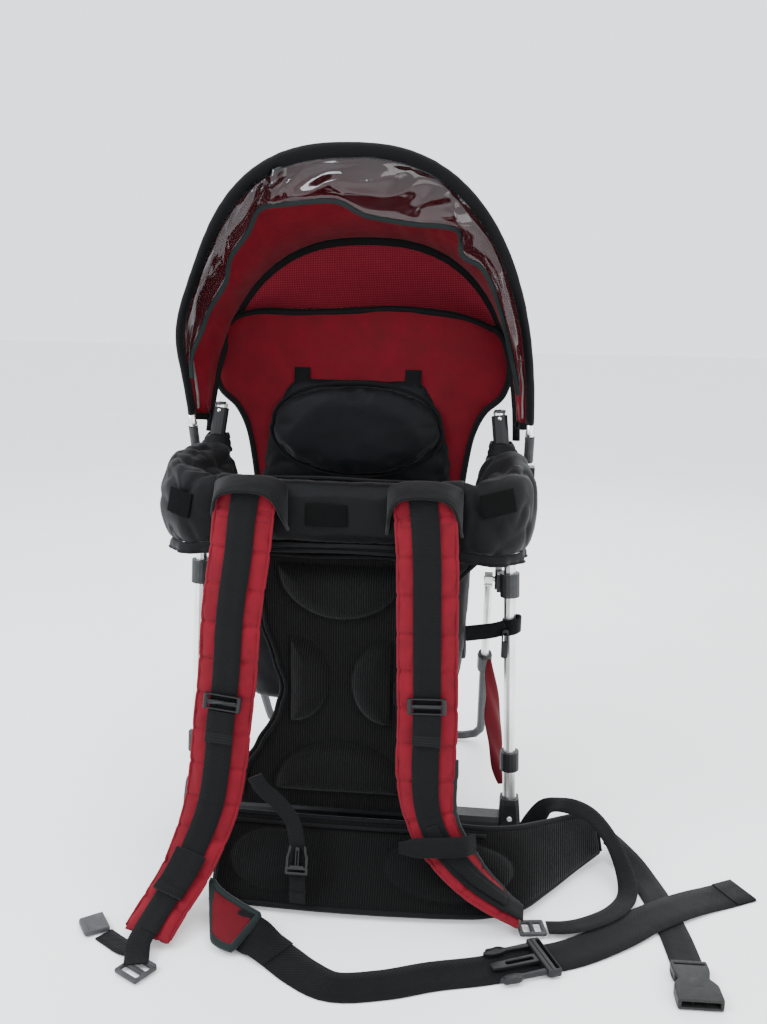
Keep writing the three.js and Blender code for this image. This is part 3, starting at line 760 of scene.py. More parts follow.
def socket_buckle():
    """The hip belt's female buckle: waisted shell, open mouth, side windows and webbing bars."""
    place = pose_of((424, -284, 8), -88)
    half = [(-35, 20.5), (-22, 21), (-14, 20), (-9, 17.6), (-4, 17.4), (0, 21), (6, 24.6), (30, 25), (32, 24)]
    shell = rounded(half + [(x, -y) for x, y in reversed(half)], 2.2, 3)
    holes = (oblong(2.6, 35, (-29, 0), 1.0),)
    parts = [plate("roof", shell, 3.2, "buckle_grey", holes, 1.1, place, 5.0),
             plate("floor_shell", shell, 3.0, "buckle_grey", holes, 1.0, place, -4.8)]
    for side in (-1, 1):
        cheek = [(6, 24.6 * side), (31.5, 24.8 * side), (31.5, 20.8 * side), (6, 20 * side)]
        neck = [(-34, 20.4 * side), (-12, 19.6 * side), (-12, 15 * side), (-34, 16.4 * side)]
        for outline in (cheek, neck):
            if side < 0:
                outline = outline[::-1]
            parts.append(plate("cheek", rounded(outline, 1.2), 11, "buckle_grey", (), 1.2, place))
        parts.append(plate("guide", oblong(24, 2.2, (14, 8 * side), 0.8), 9, "buckle_grey", (), 0.6, place))
    parts.append(plate("bridge", oblong(3, 36, (-12.5, 0), 0.8), 10, "buckle_grey", (), 1.0, place))
    parts.append(plate("rear_bar", oblong(3.4, 38, (-33, 0), 1.4), 8.6, "buckle_grey", (), 1.4, place))
    dent = rounded([(-6, 6), (10, 9), (10, -9), (-6, -6)], 3)
    parts.append(plate("boss", dent, 1.2, "buckle_grey", (), 0.5, place, 6.1))
    return piece(join("hip_buckle_female", parts), "frame", "grey_plastic", "buckle_female")


def ladder_buckle(name, node, tall, turn, centre):
    """A ladder adjuster: two slots, a toothed middle bar and a lifted thumb edge."""
    place = pose_of(centre, turn)
    body = oblong(33, tall, (0, 0), 3.2)
    holes = (oblong(8.5, tall - 9, (-7, 0), 1.6), oblong(8.5, tall - 9, (7, 0), 1.6))
    parts = [plate("body", body, 4.6, "grey_plastic", holes, 1.2, place)]
    parts.append(plate("lip", oblong(5, tall - 3, (14.6, 0), 2), 3.6, "grey_plastic", (), 1.2, place, 2.2))
    for k in range(-4, 5):
        y = k * (tall - 12) / 9
        parts.append(plate("tooth", oblong(3.6, 1.1, (0, y), 0.5), 6, "grey_plastic", (), 0.4, place))
    return piece(join(name, parts), "frame", "black_plastic", node)


def strap_end_clip():
    """The moulded clip closed on the left strap's webbing end."""
    place = pose_of((-274.5, -259, 5), 36 - 180)
    body = rounded([(-15, -17), (13, -16), (15, -13), (15, 13), (13, 16), (-15, 17)], 1.6)
    parts = [plate("shell", body, 6.6, "clip_grey", (), 1.6, place),
             plate("ridge", oblong(3, 26, (9.5, 0), 1.2), 8, "clip_grey", (), 1.4, place)]
    return piece(join("strap_end_clip", parts), "frame", "grey_plastic", "strap_clip_left")


def sternum_clip():
    """The chest strap's small male buckle, lying on its webbing."""
    tilt = Matrix.Rotation(math.radians(90) - 0.32, 4, "X")
    place = pose_of((-37, -208.5, 79.5), 0, tilt)
    yoke = oblong(28, 9, (0, -13), 2)
    parts = [plate("yoke", yoke, 5.6, "black_plastic", (oblong(21, 2.4, (0, -13), 0.8),), 1.0, place)]
    for side in (-1, 1):
        arm = [(13.4 * side, -10), (13.6 * side, 2), (11.6 * side, 8), (10.4 * side, 16),
               (8 * side, 17.6), (7.4 * side, 12), (10 * side, 3), (10 * side, -10)]
        if side > 0:
            arm.reverse()
        parts.append(plate("arm", rounded(arm, 1.6), 4.4, "black_plastic", (), 1.0, place))
    tongue = oblong(5, 26, (0, 2), 2)
    parts.append(plate("tongue", tongue, 3.6, "black_plastic", (oblong(1.6, 18, (0, 2)),), 0.8, place))
    parts.append(plate("nose", oblong(18, 3.4, (0, -8.4), 1), 5.2, "black_plastic", (), 1.0, place))
    return piece(join("sternum_buckle_male", parts), "frame", "black_plastic", "sternum_buckle")


def webbing_hem(name, line, face, width, span):
    """A turned-over hem near the end of a webbing: a short second layer."""
    end = line[-1]
    start = end + (line[-3] - end).normalized() * span
    short = [end.lerp(start, t) + face * (WEB_T * 0.9) for t in (0.0, 0.3, 0.7, 1.0)]
    o = ribbon(name, short, frames_of(short, [face] * 4), width, WEB_T * 0.8, "webbing")
    return piece(o, "frame", "webbing")


def cords():
    up = Vector((0, 0, 1))
    o, line = free_webbing("hip_strap_wide", "hip_webbing_wide", WIDE_ROUTE, laid_up, 0.050, 72)
    hem = webbing_hem("hip_strap_wide_hem", line, up, 0.0485, 0.030)
    wide_buckle()
    o, line = free_webbing("hip_strap_narrow", "hip_webbing_narrow", NARROW_ROUTE, laid_up, 0.038, 40)
    socket_buckle()
    o, line = free_webbing("strap_loop", "strap_loop_right", LOOP_ROUTE, loop_face, 0.025, 68)
    adjuster = ladder_buckle("adjuster_right", "strap_adjuster_right", 28, 190, (248, -201, 7))
    o, line = free_webbing("sternum_strap", "sternum_webbing", STERNUM_ROUTE, sternum_face, 0.020, 40)
    hem = webbing_hem("sternum_strap_hem", line, sternum_face(1), 0.0195, 0.012)
    sternum_clip()
    free_webbing("strap_tail", "strap_tail_left", TAIL_ROUTE, laid_up, 0.025, 20, "ribbed_webbing")
    ladder_buckle("adjuster_left", "strap_adjuster_left", 36, 60, (-197, -332, 5))
    strap_end_clip()


# ---------------------------------------------------------------- cloth
def inflate(o, voxel, cap, pressure=4.0, frames=20):
    """Swells a closed form as stuffed cloth: remesh, a short cloth run, capped movement, applied."""
    modify(o, "REMESH", mode="VOXEL", voxel_size=voxel, use_smooth_shade=True)
    apply_all(o)
    rest = [v.co.copy() for v in o.data.vertices]
    cloth = o.modifiers.new("cloth", "CLOTH")
    cloth.settings.use_pressure = True
    cloth.settings.uniform_pressure_force = pressure
    cloth.settings.quality = 5
    cloth.settings.mass = 0.25
    cloth.settings.tension_stiffness = 12
    cloth.settings.compression_stiffness = 12
    cloth.settings.bending_stiffness = 0.6
    cloth.settings.effector_weights.gravity = 0
    cloth.collision_settings.use_collision = False
    cloth.point_cache.frame_end = frames
    scene = bpy.context.scene
    for f in range(1, frames + 1):
        scene.frame_set(f)
    apply_all(o)
    scene.frame_set(1)
    for v, before in zip(o.data.vertices, rest):
        step = v.co - before
        if step.length > cap:
            step *= cap / step.length
        v.co = before + step
    for p in o.data.polygons:
        p.use_smooth = True
    return o


def ridges(o, depth, scale, stretch=(1, 1, 1), seed=0.0, limit=None):
    """Long soft creases: ridged noise, stretched so that the folds run one way."""
    shift = Vector((seed, -seed, seed * 0.5))
    axis = Vector(stretch)
    normals = [v.normal.copy() for v in o.data.vertices]
    for v, n in zip(o.data.vertices, normals):
        q = Vector((v.co.x * axis.x, v.co.y * axis.y, v.co.z * axis.z)) * scale + shift
        fold = 1 - abs(noise.noise(q)) * 3.2
        deep = clamp(fold) ** 2
        share = 1.0 if limit is None else limit(v.co)
        v.co -= n * (deep * depth * share)
    return o


def seam(name, line, radius, mat, body, slot, dash=0.0035, gap=0.0018):
    """A row of stitches along a line."""
    total = length_of(line)
    parts = []
    fine = respaced(line, max(int(total / 0.0012), 4))
    run = 0.0
    points = []
    for a, b in zip(fine, fine[1:]):
        phase = run % (dash + gap)
        if phase < dash:
            points.append(a)
        elif points:
            parts.append(points)
            points = []
        run += (b - a).length
    if points:
        parts.append(points)
    verts, faces = [], []
    for p in parts:
        if len(p) < 2:
            continue
        a, b = p[0], p[-1]
        along = (b - a).normalized()
        side = along.orthogonal().normalized()
        other = along.cross(side)
        first = len(verts)
        for centre, r in ((a, 0.4), (a.lerp(b, 0.2), 1), (a.lerp(b, 0.8), 1), (b, 0.4)):
            for t in circle(5):
                verts.append(centre + (side * math.cos(t) + other * math.sin(t)) * radius * r)
        for i in range(3):
            for k in range(5):
                q = first + i * 5 + k
                w = first + i * 5 + (k + 1) % 5
                faces.append((q, w, w + 5, q + 5))
        faces.append(tuple(first + k for k in range(4, -1, -1)))
        faces.append(tuple(first + 15 + k for k in range(5)))
    return piece(make(name, verts, faces, mat), body, slot)


# ---------------------------------------------------------------- shoulder straps
PAD_ROUTE = {
    "left": metres([[-101, -172, 532], [-106, -179, 495], [-110, -181, 455], [-121, -181, 379],
                    [-127, -181, 300], [-134, -181, 241], [-139.5, -181, 188], [-148, -183, 134],
                    [-162, -192, 88], [-176, -217, 52], [-190, -247, 30], [-201, -284, 13]]),
    "right": metres([[101, -172, 532], [106, -179, 495], [109, -181, 455], [111, -181, 386],
                     [113, -181, 309], [114.6, -181, 252], [114, -182, 200], [118, -185, 150],
                     [130, -190, 116], [153, -196, 86], [180, -200, 58], [209, -201, 36],
                     [233, -196, 17]]),
}
PAD_W = 0.070
PAD_T = 0.014
PAD_STEPS = 260
QUILT = 0.046                    # spacing of the cross-stitched channels
STRAP_W = 0.0325
TAPER = {"left": 0.14, "right": 0.5}


class Pad:
    """One shoulder pad's centre line, faces and widths, shared by all that is sewn to it."""

    def __init__(self, side):
        self.side = side
        self.line = spline(PAD_ROUTE[side], PAD_STEPS)
        faces = []
        for p in self.line:
            lying = 1 - smoothstep(0, 0.17, p.z)
            faces.append(Vector((0, -1 + 0.7 * lying, lying)).normalized())
        self.frames = frames_of(self.line, faces)
        self.run = [0.0]
        for a, b in zip(self.line, self.line[1:]):
            self.run.append(self.run[-1] + (b - a).length)

    def taper(self, z):
        return TAPER[self.side] * clamp((0.19 - z) / 0.17)

    def width(self, i):
        """Full width, with the top corners trimmed and a slight pull at each channel."""
        full = PAD_W * (1 - self.taper(self.line[i].z))
        corner = lerp(0.66, 1, math.sin(clamp(self.run[i] / 0.016) * math.pi / 2))
        return full * corner * (1 - 0.034 * self.channel(i))

    def channel(self, i):
        """1 on a stitched channel, fading to 0 a few millimetres away."""
        if self.run[i] < QUILT * 0.5:
            return 0.0
        off = (self.run[i] + QUILT * 0.35) % QUILT
        off = min(off, QUILT - off)
        return math.exp(-(off / 0.0026) ** 2)

    def height(self, i, s):
        """Half thickness at a share s across the width (-1 to 1)."""
        crown = max(1 - abs(s) ** 3.2, 0.0) ** 0.55
        puff = 0.94 + 0.09 * math.sin(math.pi * ((self.run[i] + QUILT * 0.35) % QUILT) / QUILT)
        press = 1 - 0.12 * math.exp(-(s / 0.5) ** 4)
        end = min(1.0, 0.35 + self.run[i] / 0.012, 0.4 + (self.run[-1] - self.run[i]) / 0.012)
        return PAD_T / 2 * crown * puff * press * (1 - 0.42 * self.channel(i)) * end

    def at(self, i, s, lift=0.0, back=False):
        across, out = self.frames[i]
        h = self.height(i, s) + lift
        return self.line[i] + across * (s * self.width(i) / 2) + out * (-h if back else h)

    def index(self, z):
        return min(range(len(self.line)), key=lambda i: abs(self.line[i].z - z))


def shoulder_pad(pad):
    rings = []
    cols = 22
    for i in range(len(pad.line)):
        ring = []
        for back in (False, True):
            for k in range(cols):
                s = -math.cos(math.pi * k / cols)
                ring.append(pad.at(i, -s if back else s, 0.0, back))
        rings.append(ring)
    o = loft(f"shoulder_pad_cover_{pad.side}", rings, "red_pad")
    ruffle(o, 0.0016, 55, 3.0 if pad.side == "left" else 8.0)
    ridges(o, 0.0012, 42, (1.6, 1, 0.45), 1.7)
    piece(o, "frame", "red_pad", f"shoulder_pad_{pad.side}")
    for s, name in ((-1, "outer"), (1, "inner")):
        line = [pad.at(i, s * 0.985) for i in range(2, len(pad.line) - 2, 2)]
        bead = tube(f"pad_piping_{name}_{pad.side}", line, 0.0019, "red_pad", 8)
        piece(bead, "frame", "red_pad")
    return o


def pad_stitching(pad):
    """The boxes of stitches where each pad's webbing is sewn down."""
    top = [i for i, r in enumerate(pad.run) if r > 0.026][0]
    low = [i for i, r in enumerate(pad.run) if r > 0.038][0]
    for k, (a, b) in enumerate(((-0.84, -0.47), (0.47, 0.84))):
        corners = [(top, a), (top, b), (low, b), (low, a), (top, a)]
        line = []
        for (i0, s0), (i1, s1) in zip(corners, corners[1:]):
            for q in range(6):
                i = round(lerp(i0, i1, q / 6))
                line.append(pad.at(i, lerp(s0, s1, q / 6), 0.0002))
        seam(f"box_stitch_{k}_{pad.side}", line, 0.00042, "stitch_black", "frame", "webbing",
             dash=0.0026, gap=0.0012)


def band(pad, name, start, end, width, lift, mat="webbing", slack=0.0, thick=None):
    """Webbing along a pad between two distances down it, lift above the pad's face."""
    rows = [i for i, r in enumerate(pad.run) if start <= r <= end]
    line, frames, widths = [], [], []
    for k, i in enumerate(rows):
        across, out = pad.frames[i]
        bow = slack * math.sin(math.pi * k / max(len(rows) - 1, 1))
        line.append(pad.line[i] + out * (PAD_T / 2 + lift + bow - 0.0006 * pad.channel(i)))
        frames.append((across, out))
        widths.append(width * (1 - pad.taper(pad.line[i].z) * (0.3 if pad.side == "left" else 0.5)))
    o = ribbon(name, line, frames, widths, thick or WEB_T, mat)
    return piece(o, "frame", "webbing")


def strap_slider(pad):
    """A plastic bar slider: frame with three cross bars, and a round grip bar over the middle."""
    side = pad.side
    low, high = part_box(f"strap_slider_{side}")
    centre = (Vector(low) + Vector(high)) / 2
    a, b = PAD_ROUTE[side][4], PAD_ROUTE[side][5]
    slope = math.degrees(math.atan2(a.x - b.x, a.z - b.z))
    place = Matrix.Translation(centre) @ Matrix.Rotation(math.radians(slope), 4, "Y") \
        @ Matrix.Rotation(math.radians(90), 4, "X")
    body = oblong(46, 20, (0, 0), 3.4)
    holes = (oblong(35, 5.4, (0, 5.1), 1.2), oblong(35, 5.4, (0, -5.1), 1.2))
    parts = [plate("body", body, 4.0, "black_plastic", holes, 1.2, place)]
    for s in (-1, 1):
        parts.append(plate("cheek", oblong(4.6, 20, (20.4 * s, 0), 2), 6.2, "black_plastic", (), 1.6, place))
    parts.append(bar_between("grip", centre + Vector((-0.018, -0.0014, 0)),
                             centre + Vector((0.018, -0.0014, 0)), 0.0016, "black_plastic"))
    o = join(f"strap_slider_moulding_{side}", parts)
    return piece(o, f"slider_{side}", "black_plastic", f"strap_slider_{side}")


def shoulder_straps():
    for _, side in SIDES:
        pad = Pad(side)
        shoulder_pad(pad)
        pad_stitching(pad)
        slider = pad.run[pad.index((PAD_ROUTE[side][4].z + PAD_ROUTE[side][5].z) / 2)]
        total = pad.run[-1]
        upper = band(pad, f"strap_web_{side}", 0.002, total - 0.0005, STRAP_W, 0.0022)
        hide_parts(f"strap_webbing_{side}")
        tail = band(pad, f"strap_tail_{side}_doubled", slider + 0.010, slider + 0.050, STRAP_W * 1.03, 0.0056,
                    slack=0.0012)
        hem_end = band(pad, f"strap_tail_hem_{side}", slider + 0.036, slider + 0.0515, STRAP_W * 1.04,
                       0.0070, "ribbed_webbing")
        for o in (tail, hem_end):
            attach(o, f"slider_{side}")
        strap_slider(pad)
        if side == "left":
            band(pad, "strap_keeper_left", total - 0.112, total - 0.050, STRAP_W * 1.3, 0.0048,
                 slack=0.001)
            band(pad, "strap_keeper_hem_left", total - 0.064, total - 0.0495, STRAP_W * 1.32, 0.0066)
            foot = metres([[-201, -284, 22], [-204, -300, 17], [-201, -316, 11], [-198, -328, 8.6]])
            line = spline(foot, 12)
            out = ribbon("strap_web_foot", line, frames_of(line, [Vector((0.1, -0.3, 1)).normalized()] * 13),
                         0.028, WEB_T, "webbing")
            piece(out, "frame", "webbing")
        else:
            edge = [pad.at(i, -1, 0.0) + pad.frames[i][0] * -0.0012
                    for i in range(pad.index(0.21), len(pad.line) - 1, 2)]
            if edge[len(edge) // 2].x < pad.line[pad.index(0.1)].x:
                edge = [pad.at(i, 1, 0.0) + pad.frames[i][0] * 0.0012
                        for i in range(pad.index(0.21), len(pad.line) - 1, 2)]
            bead = tube("pad_binding_right", edge, 0.0034, "green_binding", 8)
            piece(bead, "frame", "webbing")
            k = pad.index(0.105)
            out = pad.frames[k][1]
            start = pad.line[k] + out * (PAD_T / 2 + 0.008)
            lead = Vector((-1, 0, 0))
            steps = ((0.040, -0.010), (0.026, 0.002), (0.004, 0.006), (-0.022, 0.005), (-0.052, 0.002))
            route = [start - lead * a + out * b + UP * 0.10 * a for a, b in steps]
            tail_line = spline(route, 24)
            loose = ribbon("chest_tail_right", tail_line, frames_of(tail_line, [out] * 25),
                           [0.024 - 0.010 * smoothstep(18, 24, i) for i in range(25)], 0.0024, "webbing")
            piece(loose, "frame", "webbing")
            band(pad, "strap_web_lower_right", total - 0.16, total - 0.03, 0.017, 0.0046, slack=0.0015)


# ---------------------------------------------------------------- back panel
PANEL_HALF = [(0, 452), (100, 450), (112, 420), (104, 350), (88, 300), (76, 262), (86, 222),
              (108, 184), (128, 150), (136, 108), (136, 98)]
PANEL_FACE = -0.112


def half_width(z):
    """Half the back panel's width at a height in millimetres."""
    points = PANEL_HALF[1:]
    for (xa, za), (xb, zb) in zip(points, points[1:]):
        if zb <= z <= za:
            t = (za - z) / (za - zb)
            return lerp(xa, xb, t * t * (3 - 2 * t) * 0.5 + t * 0.5)
    return points[0][0] if z > points[0][1] else points[-1][0]


def pod_depth(x, z):
    """How far the back panel's foam pods stand out at a point, in millimetres."""
    shapes = (
        ((0, 420), (80, 66), (0, 1), 424, 16.0),      # upper, flat along its top
        ((-60, 272), (46, 56), (-1, 0), 64, 15.0),    # left, flat along its outside
        ((60, 272), (46, 56), (1, 0), 64, 15.0),
        ((0, 124), (84, 66), (0, -1), -121, 15.0),    # lower, flat along its foot
    )
    best, groove = 0.0, 0.0
    for (cx, cz), (rx, rz), (nx, nz), limit, rise in shapes:
        r = math.hypot((x - cx) / rx, (z - cz) / rz)
        inside = min((1 - r) * min(rx, rz), limit - (x * nx + z * nz))
        if inside > 0:
            best = max(best, rise * math.sin(min(inside / 22, 1) * math.pi / 2) ** 0.75)
        groove = max(groove, math.exp(-(inside / 3.2) ** 2))
    return best - 2.2 * groove


def back_panel():
    rows, cols = 150, 88
    verts = []
    for j in range(rows + 1):
        z = lerp(452, 98, j / rows)
        w = half_width(z)
        for i in range(cols + 1):
            s = -math.cos(math.pi * i / cols) * 0.35 + lerp(-1, 1, i / cols) * 0.65
            x = s * w
            edge = 1 - clamp((1 - abs(s)) * w / 7)
            y = PANEL_FACE * 1000 - pod_depth(x, z) + 5 * edge ** 2
            y -= 1.3 * noise.noise(Vector((x * 0.02, z * 0.028, 2.0)))
            y -= 0.5 * noise.noise(Vector((x * 0.07, z * 0.05, 9.0)))
            verts.append(Vector((x, y, z)) * MM)
    o = make("back_panel_cover", verts, grid_faces(rows, cols, turned=True), "spacer_mesh")
    modify(o, "SOLIDIFY", thickness=0.007, offset=-1.0, use_even_offset=False)
    piece(o, "frame", "spacer_mesh", "back_panel")
    for side, name in SIDES:
        for inset, r in ((1.2, 2.6), (7.6, 2.3)):
            line = []
            for j in range(0, 66):
                z = lerp(448, 100, j / 65)
                x = side * (half_width(z) - inset)
                y = PANEL_FACE * 1000 - pod_depth(x, z) + (2.6 if inset < 3 else -1.6)
                line.append(Vector((x, y, z)) * MM)
            line = spline(line[::3], 96)
            edging(f"back_piping_{name}_{int(inset)}", line, r * MM)
    for k, z in enumerate((446, 436)):
        line = [Vector((x, PANEL_FACE * 1000 - 3.4, z + 1.2 * math.sin(x * 0.04))) * MM
                for x in range(-96, 97, 8)]
        edging(f"back_fold_{k}", line, 0.0024)


# ---------------------------------------------------------------- hip belt
BELT_T = 0.020
BELT_TOP = [[x, -128 - (6 - 6 * (x / 150) ** 2) * 0.5, 92] for x in range(-150, 151, 50)] \
    + [[190, -126, 90], [225, -112, 86], [262, -80, 78], [303, -36, 66], [338, 0, 54]]
BELT_FOOT = [[x, -196 - (6 - 6 * (x / 150) ** 2), 9] for x in range(-150, 151, 50)] \
    + [[190, -190, 9], [235, -168, 9], [268, -128, 9], [308, -72, 9], [345, -22, 9]]


def padded_band(name, top, foot, thick, mat, cols, rows, swell, edge_power=5.0):
    """A padded band between two edge lines: rounded edges, swell(u, v) standing out in front."""
    a, b = spline(metres(top), cols), spline(metres(foot), cols)
    front, back = [], []
    for i in range(cols + 1):
        along = tangent(a, i).lerp(tangent(b, i), 0.5)
        down = (b[i] - a[i]).normalized()
        n = down.cross(along).normalized()
        if n.y > 0:
            n = -n
        for j in range(rows + 1):
            v = j / rows
            u = i / cols
            ends = min(u, 1 - u) * cols * (a[1] - a[0]).length / 0.008
            round_v = max(1 - abs(2 * v - 1) ** edge_power, 0.0) ** 0.5
            h = thick / 2 * round_v * min(1.0, 0.25 + ends)
            centre = a[i].lerp(b[i], v)
            front.append(centre + n * (h + swell(u, v) * round_v))
            back.append(centre - n * h * 0.9)
    m = rows + 1
    count = len(front)
    faces = []
    for i in range(cols):
        for j in range(rows):
            q = i * m + j
            faces.append((q, q + 1, q + m + 1, q + m))
            faces.append((count + q, count + q + m, count + q + m + 1, count + q + 1))
    rim = [i * m for i in range(cols + 1)] + [cols * m + j for j in range(1, m)] \
        + [i * m + rows for i in range(cols - 1, -1, -1)] + list(range(rows - 1, 0, -1))
    for k, q in enumerate(rim):
        w = rim[(k + 1) % len(rim)]
        faces.append((q, w, count + w, count + q))
    o = make(name, front + back, faces, mat)
    bm = bmesh.new()
    bm.from_mesh(o.data)
    bmesh.ops.remove_doubles(bm, verts=bm.verts, dist=1e-5)
    bmesh.ops.recalc_face_normals(bm, faces=bm.faces)
    bm.to_mesh(o.data)
    bm.free()
    return o, a, b


def belt_swell(u, v):
    """The two lumbar pods of the hip belt and the soft bulge of its wing."""
    x = lerp(-150, 345, u)
    rise = 0.0
    for cx, rx in ((-82, 50), (112, 72)):
        r = math.hypot((x - cx) / rx, (v - 0.5) / 0.36)
        rise = max(rise, 13.0 * clamp((1 - r) * 2.4) ** 0.6)
        rise -= 2.0 * math.exp(-((r - 1) / 0.08) ** 2)
    return (rise + 1.6 * noise.noise(Vector((x * 0.03, v * 3, 1)))) * MM


def hip_belt():
    o, top, foot = padded_band("hip_belt_cover", BELT_TOP, BELT_FOOT, BELT_T * 0.9, "foam_mesh",
                               150, 40, belt_swell)
    piece(o, "frame", "spacer_mesh", "hip_belt")
    for name, line, lift in (("top", top, 0.001), ("foot", foot, 0.0025)):
        line = [p + Vector((0, 0, lift)) for p in line]
        edging(f"belt_binding_{name}", line, 0.0042)
    tip = [top[-1].lerp(foot[-1], t) + Vector((0.002, 0.001, 0.002)) for t in (0, 0.25, 0.5, 0.75, 1)]
    edging("belt_binding_tip", tip, 0.0044)
    seam_line = [top[i].lerp(foot[i], 0.06) + Vector((0, -0.0108, 0.004)) for i in range(0, 96, 2)]
    edging("belt_seam_cord", seam_line, 0.0022)


def folded_wing():
    """The left wing, folded forward on itself so that its red lining shows."""
    top = [[-143, -208, 41], [-130, -220, 36], [-104, -232, 28], [-76, -243, 22]]
    foot = [[-126, -266, 9], [-122, -276, 8.5], [-112, -284, 8.5], [-98, -290, 8.5]]
    swell = lambda u, v: 0.0022 * math.sin(math.pi * u) * math.sin(math.pi * v)
    o, a, b = padded_band("folded_wing_cover", top, foot, 0.009, "red_nylon", 40, 24, swell, 8.0)
    ruffle(o, 0.0018, 30, 4.0)
    piece(o, "frame", "red_nylon", "hip_wing_left")
    rim = a + [a[-1].lerp(b[-1], t) for t in (0.3, 0.7)] + b[::-1] + [b[0].lerp(a[0], t) for t in (0.3, 0.7)]
    line = respaced(rim + [rim[0]], 90)[:-1]
    bead = tube("folded_wing_binding", [p + Vector((0, -0.0012, 0.0022)) for p in line], 0.0044,
                "green_binding", 8, closed=True)
    piece(bead, "frame", "webbing")


# ---------------------------------------------------------------- cockpit bolster
LOBE = [[138, -130, 495], [174, -124, 494], [197, -98, 495], [203, -54, 496], [198, -8, 497],
        [188, 36, 498]]
LOBE_SIZE = [(44, 84), (56, 100), (64, 113), (69, 120), (74, 121), (70, 114)]


LOBE_STEPS = 40


def lobe_size(i):
    """Half the width and height of an arm rest at a step along it."""
    t = i / LOBE_STEPS * (len(LOBE_SIZE) - 1)
    k = min(int(t), len(LOBE_SIZE) - 2)
    return [lerp(a, b, t - k) * MM / 2 for a, b in zip(LOBE_SIZE[k], LOBE_SIZE[k + 1])]


def bolster_lobe(side, name):
    """A stuffed nylon arm rest, with folds across it where the cover is pulled tight."""
    line = spline(metres([[side * x, y, z] for x, y, z in LOBE]), LOBE_STEPS)
    rings = []
    for i, centre in enumerate(line):
        w, h = lobe_size(i)
        end = math.sin(clamp(0.35 + min(i * 3, LOBE_STEPS - i) / 5) * math.pi / 2)
        across = tangent(line, i).cross(UP).normalized()
        ring = []
        for a in circle(28):
            c, s = math.cos(a), math.sin(a)
            c = boxy(c, 0.8) * w * end
            s = boxy(s, 0.8) * h * lerp(end, 1, 0.4)
            ring.append(centre + across * c + UP * s)
        rings.append(ring)
    o = loft(f"bolster_cover_{name}", rings, "black_nylon")
    inflate(o, 0.0045, 0.008)
    lift = lambda p: smoothstep(0.47, 0.53, p.z)
    ridges(o, 0.0065, 15, (1.5 * side, 1.3, 0.6), 1.3 + side, lambda p: 0.35 + 0.65 * lift(p))
    ridges(o, 0.0024, 30, (1.2, 0.7, 0.6), 5.1 + side)
    ruffle(o, 0.0022, 22, side)
    subdivide(o)
    piece(o, "frame", "black_nylon", f"bolster_{name}")
    hem(side, name, line)
    return o


def hem(side, name, line):
    """The loose bound edge of the cover, hanging round the foot of an arm rest."""
    rows = []
    for i in range(0, 37):
        w, h = lobe_size(i)
        along = tangent(line, i)
        out = UP.cross(along).normalized()
        if out.x * side < 0 and abs(out.x) > 0.3 or out.y > 0.3:
            out = -out
        wave = 0.0022 * math.sin(i * 0.9) + 0.0014 * math.sin(i * 2.1)
        rows.append([line[i] + out * (w * f + wave * d) - UP * (h * 0.86 + 0.0125 * d)
                     for f, d in ((0.58, 0.0), (0.66, 0.5), (0.62, 1.0))])
    o = loft(f"bolster_hem_{name}", rows, "black_nylon", ends=False, closed=False)
    modify(o, "SOLIDIFY", thickness=0.0024, offset=0.0)
    subdivide(o)
    piece(o, "frame", "black_nylon")
    edging(f"bolster_hem_edge_{name}", [r[2] for r in rows], 0.0019)


def bolster_front():
    """The straight run of the bolster across the front, flat-faced with a soft top roll."""
    rings = []
    for i in range(41):
        x = lerp(-0.149, 0.149, i / 40)
        sag = 0.003 * math.sin(math.pi * i / 40)
        ring = []
        for a in circle(36):
            c, s = math.cos(a), math.sin(a)
            c = boxy(c, 0.55) * 0.0205
            s = boxy(s, 0.62) * 0.0405
            ring.append(Vector((x, -0.129 + c, 0.498 + s - sag)))
        rings.append(ring)
    o = loft("bolster_front_cover", rings, "black_nylon")
    inflate(o, 0.0045, 0.004)
    ridges(o, 0.0016, 20, (1.4, 1, 0.35), 2.2, lambda p: smoothstep(0.03, 0.1, abs(p.x)))
    ruffle(o, 0.0012, 60, 2.0)
    piece(o, "frame", "black_nylon", "bolster_front")
    for k, (z, y, r) in enumerate(((0.4592, -0.1545, 0.0024), (0.4515, -0.152, 0.0026),
                                   (0.537, -0.139, 0.0016))):
        line = [Vector((x / 1000, y - 0.0006 * math.sin(x * 0.05), z + 0.0009 * math.sin(x * 0.033 + k)))
                for x in range(-88, 89, 8)]
        edging(f"bolster_front_cord_{k}", line, r)


def hook_patch(name, centre, width, height, out, tilt=0.0):
    """A hook-and-loop patch: rough and slightly curled."""
    out = Vector(out).normalized()
    across = UP.cross(out).normalized()
    up = out.cross(across)
    turn = Matrix.Rotation(math.radians(tilt), 3, out)
    across, up = turn @ across, turn @ up
    verts = []
    n, m = 26, 14
    for j in range(m + 1):
        for i in range(n + 1):
            u, v = i / n - 0.5, j / m - 0.5
            bend = -0.006 * (u * 2) ** 2 * (width / 0.05) ** 2 * 0.5
            rough = 0.0005 * noise.noise(Vector((i * 0.9, j * 0.9, width * 100)))
            verts.append(Vector(centre) + across * u * width + up * v * height + out * (bend + rough))
    o = make(name, verts, grid_faces(m, n), "hook_tape")
    modify(o, "SOLIDIFY", thickness=0.0022, offset=0.0)
    return piece(o, "frame", "webbing")


